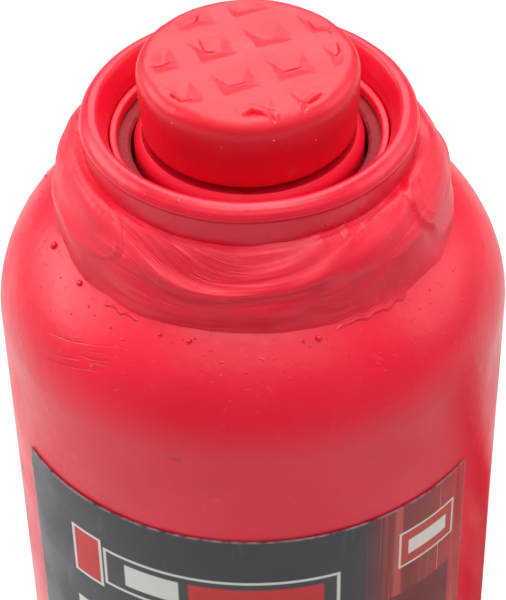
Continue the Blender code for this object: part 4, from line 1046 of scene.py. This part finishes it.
def make_base():
    """The cast foot: a flange, a drafted body, a pump boss, the link's lug and the valve mouths."""
    foot = stacked("foot", corner_outline(FOOT_CORNERS), rounded_layers(0, 6, 1.6))
    layers = [(2.2, 0.4), (2.2, 5.4)]
    for share in np.linspace(0, 1, 7)[1:]:
        layers.append((0.9 + 1.5 * sin(share * pi / 2), 5.6 + 3 * share))
    layers += [(2.5, 12), (2.55, 15), (2.6, 18), (2.65, 20.5)]
    for angle in np.linspace(0, pi / 2, 9)[1:]:
        layers.append((2.65 + 2.2 * (1 - cos(angle)), 21.8 + 2.2 * sin(angle)))
    base = stacked("base_casting", corner_outline(FOOT_CORNERS), layers, wobble=0.05)
    combine(base, foot, "UNION")
    boss = lathe("boss", [(0, 29), (11.6, 29), (12.5, 28.6), (12.9, 27.8), (13, 27), (13.2, 25.6),
                          (13.9, 24.6), (15.6, 23.9), (15.6, 20), (0, 20)], 120, place=(PUMP_X, 0, 0))
    combine(base, boss, "UNION")
    lug_outline = [(-7.6, -11), (7.6, -11), (6.5, -8), (6, -4)]
    lug_outline += [(6 * cos(angle), 6 * sin(angle)) for angle in np.linspace(0, pi, 25)]
    lug_outline += [(-6, -4), (-6.5, -8)]
    lug_place = (LUG_PIN[0], 0, LUG_PIN[1])
    combine(base, side_plate("lug", lug_outline, 2 * LUG_HALF, lug_place, 0.5, 2), "UNION")
    slot = [(0.8 * copysign(1, cos(angle)) + 2.95 * cos(angle), 2.95 * sin(angle))
            for angle in np.arange(48) * TURN / 48 + 0.01]
    combine(base, shift(stacked("slot", slot, [(0, -12), (0, 12)]), lug_place, UPRIGHT), "DIFFERENCE")
    drill_round(base, (0, 0, 14), (0, 0, 30), 18.3, 128)
    drill_round(base, (PUMP_X, 0, 16), (PUMP_X, 0, 32), 9.3, 96)
    drill_round(base, (PUMP_X, 0, 12), (PUMP_X, 0, 17), 4.5)
    drill_round(base, (32, 0, -2), (32, 0, 11.5), 3.6)
    for y in (-VALVE_Y, VALVE_Y):
        drill_round(base, (46, y, VALVE_Z), (84, y, VALVE_Z), 5.3, 72)
    drill_round(base, (68, 0, 14), (84, 0, 14), 3.3)
    for side in (-1, 1):
        drill_round(base, (12, side * 27, 12), (12, side * 42, 12), 3.3)
    finish_piece(base, "base", "red_paint", paint("cast_paint", 0.4, grain=0.03, chips=0.25), "base")


def make_base_weld():
    rows, columns = 34, 720
    angle, circle = ring(columns)
    t = np.linspace(0, 1, rows)[:, None]
    inner_radius, foot_height = 30.05, 24.05
    slow = wave_noise(circle * 3, 61, 3)
    outer = 33.3 + 0.25 * slow
    top = 28 + 0.3 * wave_noise(circle * 4, 62, 3)
    curve = pi / 2 * t
    radius = inner_radius + (outer - inner_radius) * np.sin(curve) ** 0.9
    height = foot_height + (top - foot_height) * np.cos(curve) ** 0.9
    ripple = np.abs(np.sin(angle * 85 + 2.2 * t + 0.8 * slow)) ** 1.5 * np.sin(pi * t) * 0.28
    bulge = (0.35 * np.sin(pi * t) + ripple) * 0.7
    radius = np.concatenate([radius + bulge * np.sin(curve), np.full((1, columns), inner_radius)])
    height = np.concatenate([height + bulge * np.cos(curve), np.full((1, columns), foot_height)])
    grid = polar(radius, angle, height).reshape(-1, 3)
    weld = clean(add_mesh("foot_weld", grid, grid_faces(rows + 1, columns, True, True), 60))
    finish_piece(weld, "base", "red_paint", paint("foot_weld_paint", 0.4), "base_weld_bead")


# ---- pump, linkage and valves

def make_pump_barrel(steel):
    outline = softened([(9, 58.5), (9, 53.2), (9, 44), (9, 18), (5.15, 18), (5.15, 48),
                        (6.95, 48), (6.95, 52), (5.15, 52), (5.15, 54.4), (6.95, 54.4), (6.95, 57),
                        (5.15, 57), (5.15, 58.5)], 0.5)
    barrel = lathe("pump_tube", outline, 160, place=(PUMP_X, 0, 0))
    plan = [(11.3 * cos(angle), 11.3 * sin(angle)) for angle in ring(6)[0]]
    hexagon = stacked("hexagon", plan, [(0, 44), (0, 53)], spacing=1)
    dome = lathe("dome", [(0, 53.2), (9.6, 53.2), (10.7, 52.4), (11.6, 51.2), (11.6, 45.8), (10.7, 44.6),
                          (9.6, 43.9), (0, 43.9)], 160)
    combine(hexagon, dome, "INTERSECT")
    drill_round(hexagon, (0, 0, 40), (0, 0, 58), 8.6, 96)
    combine(barrel, shift(hexagon, (PUMP_X, 0, 0)), "UNION")
    finish_piece(barrel, "base", "zinc", steel, "pump_barrel")




def make_plunger(steel):
    outline = softened([(5, 61.2), (5, 24.2), (3.8, 24.2), (3.8, 20.2), (5, 20.2), (5, 19.5),
                        (4.4, 18.9), (0, 18.9), (0, 61.2)], 0.25)
    plunger = lathe("plunger_rod", outline, 120, place=(PUMP_X, 0, 0))
    corners = ((-6.2, -8.9, 2), (6.2, -8.9, 2), (6.2, 6.5, 6.1), (-6.2, 6.5, 6.1))
    tang = side_plate("tang", corner_outline(corners), 2 * TANG_HALF, (PUMP_X, 0, PLUNGER_PIN_Z), 0.6, 1)
    combine(plunger, tang, "UNION")
    drill_round(plunger, (PUMP_X, -8, PLUNGER_PIN_Z), (PUMP_X, 8, PLUNGER_PIN_Z), PIN_HOLE)
    finish_piece(plunger, "plunger", "bright_steel", steel, "pump_plunger")


def make_handle_socket():
    outline = [(11, 111.4), (10.6, 111.9), (10, 112), (9.2, 111.8), (8.6, 111.2)]
    outline += arc_points([(8.6, 110), (8.6, 70.3)], 3)
    outline += [(0, 70), (0, 66), (10.4, 66), (11, 66.6)]
    outline += arc_points([(11, 68), (11, 110.8)], 3)
    socket = lathe("socket_tube", outline[::-1], 160, axis="X", place=(0, 0, 74))
    corners = ((35.4, 70, 5), (54, 61.2, 5), (74, 62.9, 1), (74, 84.9, 1), (36.5, 82.5, 5))
    for label, y in (("left", -CHEEK_Y), ("right", CHEEK_Y)):
        cheek = side_plate(label + "_cheek", corner_outline(corners), 2 * CHEEK_HALF, (0, y, 0), 0.6, 1.5)
        combine(socket, cheek, "UNION")
    drill_round(socket, (70, 0, 74), (113, 0, 74), 8.6, 120)
    for x, z in ((PUMP_X, PLUNGER_PIN_Z), LINK_TOP):
        drill_round(socket, (x, -12, z), (x, 12, z), PIN_HOLE)
    finish = paint("socket_paint", 0.34, chips=0.6)
    finish_piece(socket, "handle_socket", "red_paint", finish, "handle_socket")


def make_links(zinc):
    middle = (LINK_TOP[1] + LUG_PIN[1]) / 2
    half = (LINK_TOP[1] - LUG_PIN[1]) / 2
    outline = []
    for centre, turn in ((half, 0), (-half, pi)):
        for angle in np.linspace(turn, turn + pi, 25):
            outline.append((5.5 * cos(angle), centre + 5.5 * sin(angle)))
    x = LINK_TOP[0]
    for label, y in (("left", -LINK_Y), ("right", LINK_Y)):
        link = side_plate(label + "_link", outline, 2 * LINK_HALF, (x, y, middle), 0.4, 2)
        for z in (LINK_TOP[1], LUG_PIN[1]):
            drill_round(link, (x, y - 3, z), (x, y + 3, z), PIN_HOLE)
        finish_piece(link, "link", "zinc", zinc, label + "_link_plate")


def make_pin(name, x, z, half_grip, body, zinc):
    groove = half_grip + PLAY
    outline = softened([(0, groove + 2.4), (2.1, groove + 2.4), (2.5, groove + 2), (2.5, groove + 1.4),
                        (1.8, groove + 1.4), (1.8, groove), (2.5, groove), (2.5, -groove), (4, -groove),
                        (4, -groove - 1.4), (3.2, -groove - 2.1), (0, -groove - 2.2)], 0.3)
    pin = lathe(name + "_turned", outline, 72, axis="Y", place=(x, 0, z))
    finish_piece(pin, body, "zinc", zinc, name)


def make_valves(zinc):
    """The release screw with its wing and knurl, and the slotted cap of the safety valve."""
    outline = softened([(0, 87), (5.6, 87), (6.5, 86.1), (6.5, 80.6), (5, 80.6), (5, 70.2),
                        (3.8, 70.2), (3.8, 67.4), (5, 67.4), (5, 54.8), (3.2, 51.6), (0, 51.6)], 0.35)
    screw = lathe("release_screw_turned", outline, 160, axis="X", place=(0, -VALVE_Y, VALVE_Z))
    corners = ((-4, -4.75, 1.2), (4, -4.75, 2.4), (4, 4.75, 2.4), (-4, 4.75, 1.2))
    layers = [(0.5, -1.7), (0.12, -1.55), (0, -1.2), (0, 1.2), (0.12, 1.55), (0.5, 1.7)]
    wing = stacked("release_wing", corner_outline(corners), layers, 0.6)
    combine(screw, shift(wing, (89.5, -VALVE_Y, VALVE_Z)), "UNION")
    for angle in ring(15)[0]:
        y, z = 6.75 * cos(angle) - VALVE_Y, 6.75 * sin(angle) + VALVE_Z
        drill_round(screw, (81.6, y, z), (85.4, y, z), 0.42, 8)
    finish_piece(screw, "release_valve", "zinc", zinc, "release_valve_screw")
    outline = [(0, 80.7), (5, 80.7), (5.6, 80.1), (5.6, 77.8), (4.9, 77.8), (4.9, 71), (0, 71)]
    cap = lathe("safety_cap_turned", softened(outline, 0.4), 120, axis="X", place=(0, VALVE_Y, VALVE_Z))
    corners = ((-2, -4, 0.2), (2, -4, 0.2), (2, 4, 0.2), (-2, 4, 0.2))
    slot = stacked("cap_slot", corner_outline(corners), [(0, -0.6), (0, 0.6)], 1)
    combine(cap, shift(slot, (82, VALVE_Y, VALVE_Z)), "DIFFERENCE")
    finish_piece(cap, "base", "zinc", zinc, "safety_valve_cap")


def make_passage_plugs(zinc):
    for name, axis, mouth, direction in (
        ("pump_passage_plug", "X", (77.5, 0, 14), (1, 0, 0)),
        ("left_passage_plug", "Y", (12, -36.5, 12), (0, -1, 0)),
        ("right_passage_plug", "Y", (12, 36.5, 12), (0, 1, 0)),
    ):
        sign = sum(direction)
        outline = softened([(0, -0.8), (2.5, -0.8), (3, -1.3), (3, -7.5), (2.5, -8), (0, -8)], 0.25)
        outline = [(radius, height * sign) for radius, height in outline]
        plug = lathe(name + "_turned", outline, 72, axis=axis, place=mouth)
        size = {"X": (1.6, 5, 0.7), "Y": (5, 1.6, 0.7)}[axis]
        shape = bmesh.new()
        place = Matrix.Translation(Vector(mouth) * MM - Vector(direction) * 0.8 * MM)
        bmesh.ops.create_cube(shape, size=MM, matrix=place @ Matrix.Diagonal((*size, 1)))
        combine(plug, object_from("cutter", shape), "DIFFERENCE")
        finish_piece(plug, "base", "zinc", zinc, name)


def make_filler_plug():
    outline = softened([(0, 3.4), (5.4, 3.4), (6.6, 2.6), (7, 0.35), (4.2, 0.35), (4.2, -2.5), (3.3, -4.5),
                        (0, -4.5)], 0.6, 6)
    plug = lathe("filler_plug_moulded", outline, 120, axis="Y", place=(0, 30, 100))
    finish_piece(plug, "filler_plug", "black_rubber", rubber("filler_rubber"), "oil_filler_plug")


make_camera()
make_studio()
make_tank()
make_collar()
make_neck_weld()
make_spatter()
make_paint_tear()
make_head_dust()
make_saddle()
make_ram()
make_top_nut()
make_label()
make_base()
make_base_weld()
zinc_plate = metal("zinc_plate", (0.68, 0.66, 0.60), 0.3)
ground_steel = metal("ground_steel", (0.60, 0.60, 0.62), 0.2, (20, 20, 1400))
make_pump_barrel(zinc_plate)
make_plunger(ground_steel)
make_handle_socket()
make_links(zinc_plate)
make_pin("upper_link_pin", *LINK_TOP, LINK_Y + LINK_HALF, "link", zinc_plate)
make_pin("lower_link_pin", LINK_TOP[0], LUG_PIN[1], LINK_Y + LINK_HALF, "link", zinc_plate)
make_pin("plunger_pin", PUMP_X, PLUNGER_PIN_Z, CHEEK_Y + CHEEK_HALF, "handle_socket", zinc_plate)
make_valves(zinc_plate)
make_passage_plugs(zinc_plate)
make_filler_plug()

PLAIN_FINISHES = {
    "red_paint": paint("plain_paint"),
    "label_print": Surface("plain_label", (0.07, 0.07, 0.075), 0.3).material,
    "bright_steel": metal("plain_bright_steel", (0.60, 0.60, 0.62), 0.25),
    "dark_steel": metal("plain_dark_steel", (0.12, 0.12, 0.13), 0.4),
    "zinc": metal("plain_zinc", (0.68, 0.66, 0.60), 0.32),
    "copper": metal("plain_copper", (0.72, 0.36, 0.20), 0.35),
    "black_rubber": rubber("plain_rubber"),
    "urethane": rubber("plain_urethane", (0.05, 0.12, 0.30)),
}
for part in frame["record"]["subparts"]:
    node = frame["nodes"][part["node"]]
    node.data.materials.clear()
    node.data.materials.append(PLAIN_FINISHES[part["material_slot"]])
    node.data.shade_smooth()
    node.data.set_sharp_from_angle(angle=radians(35))
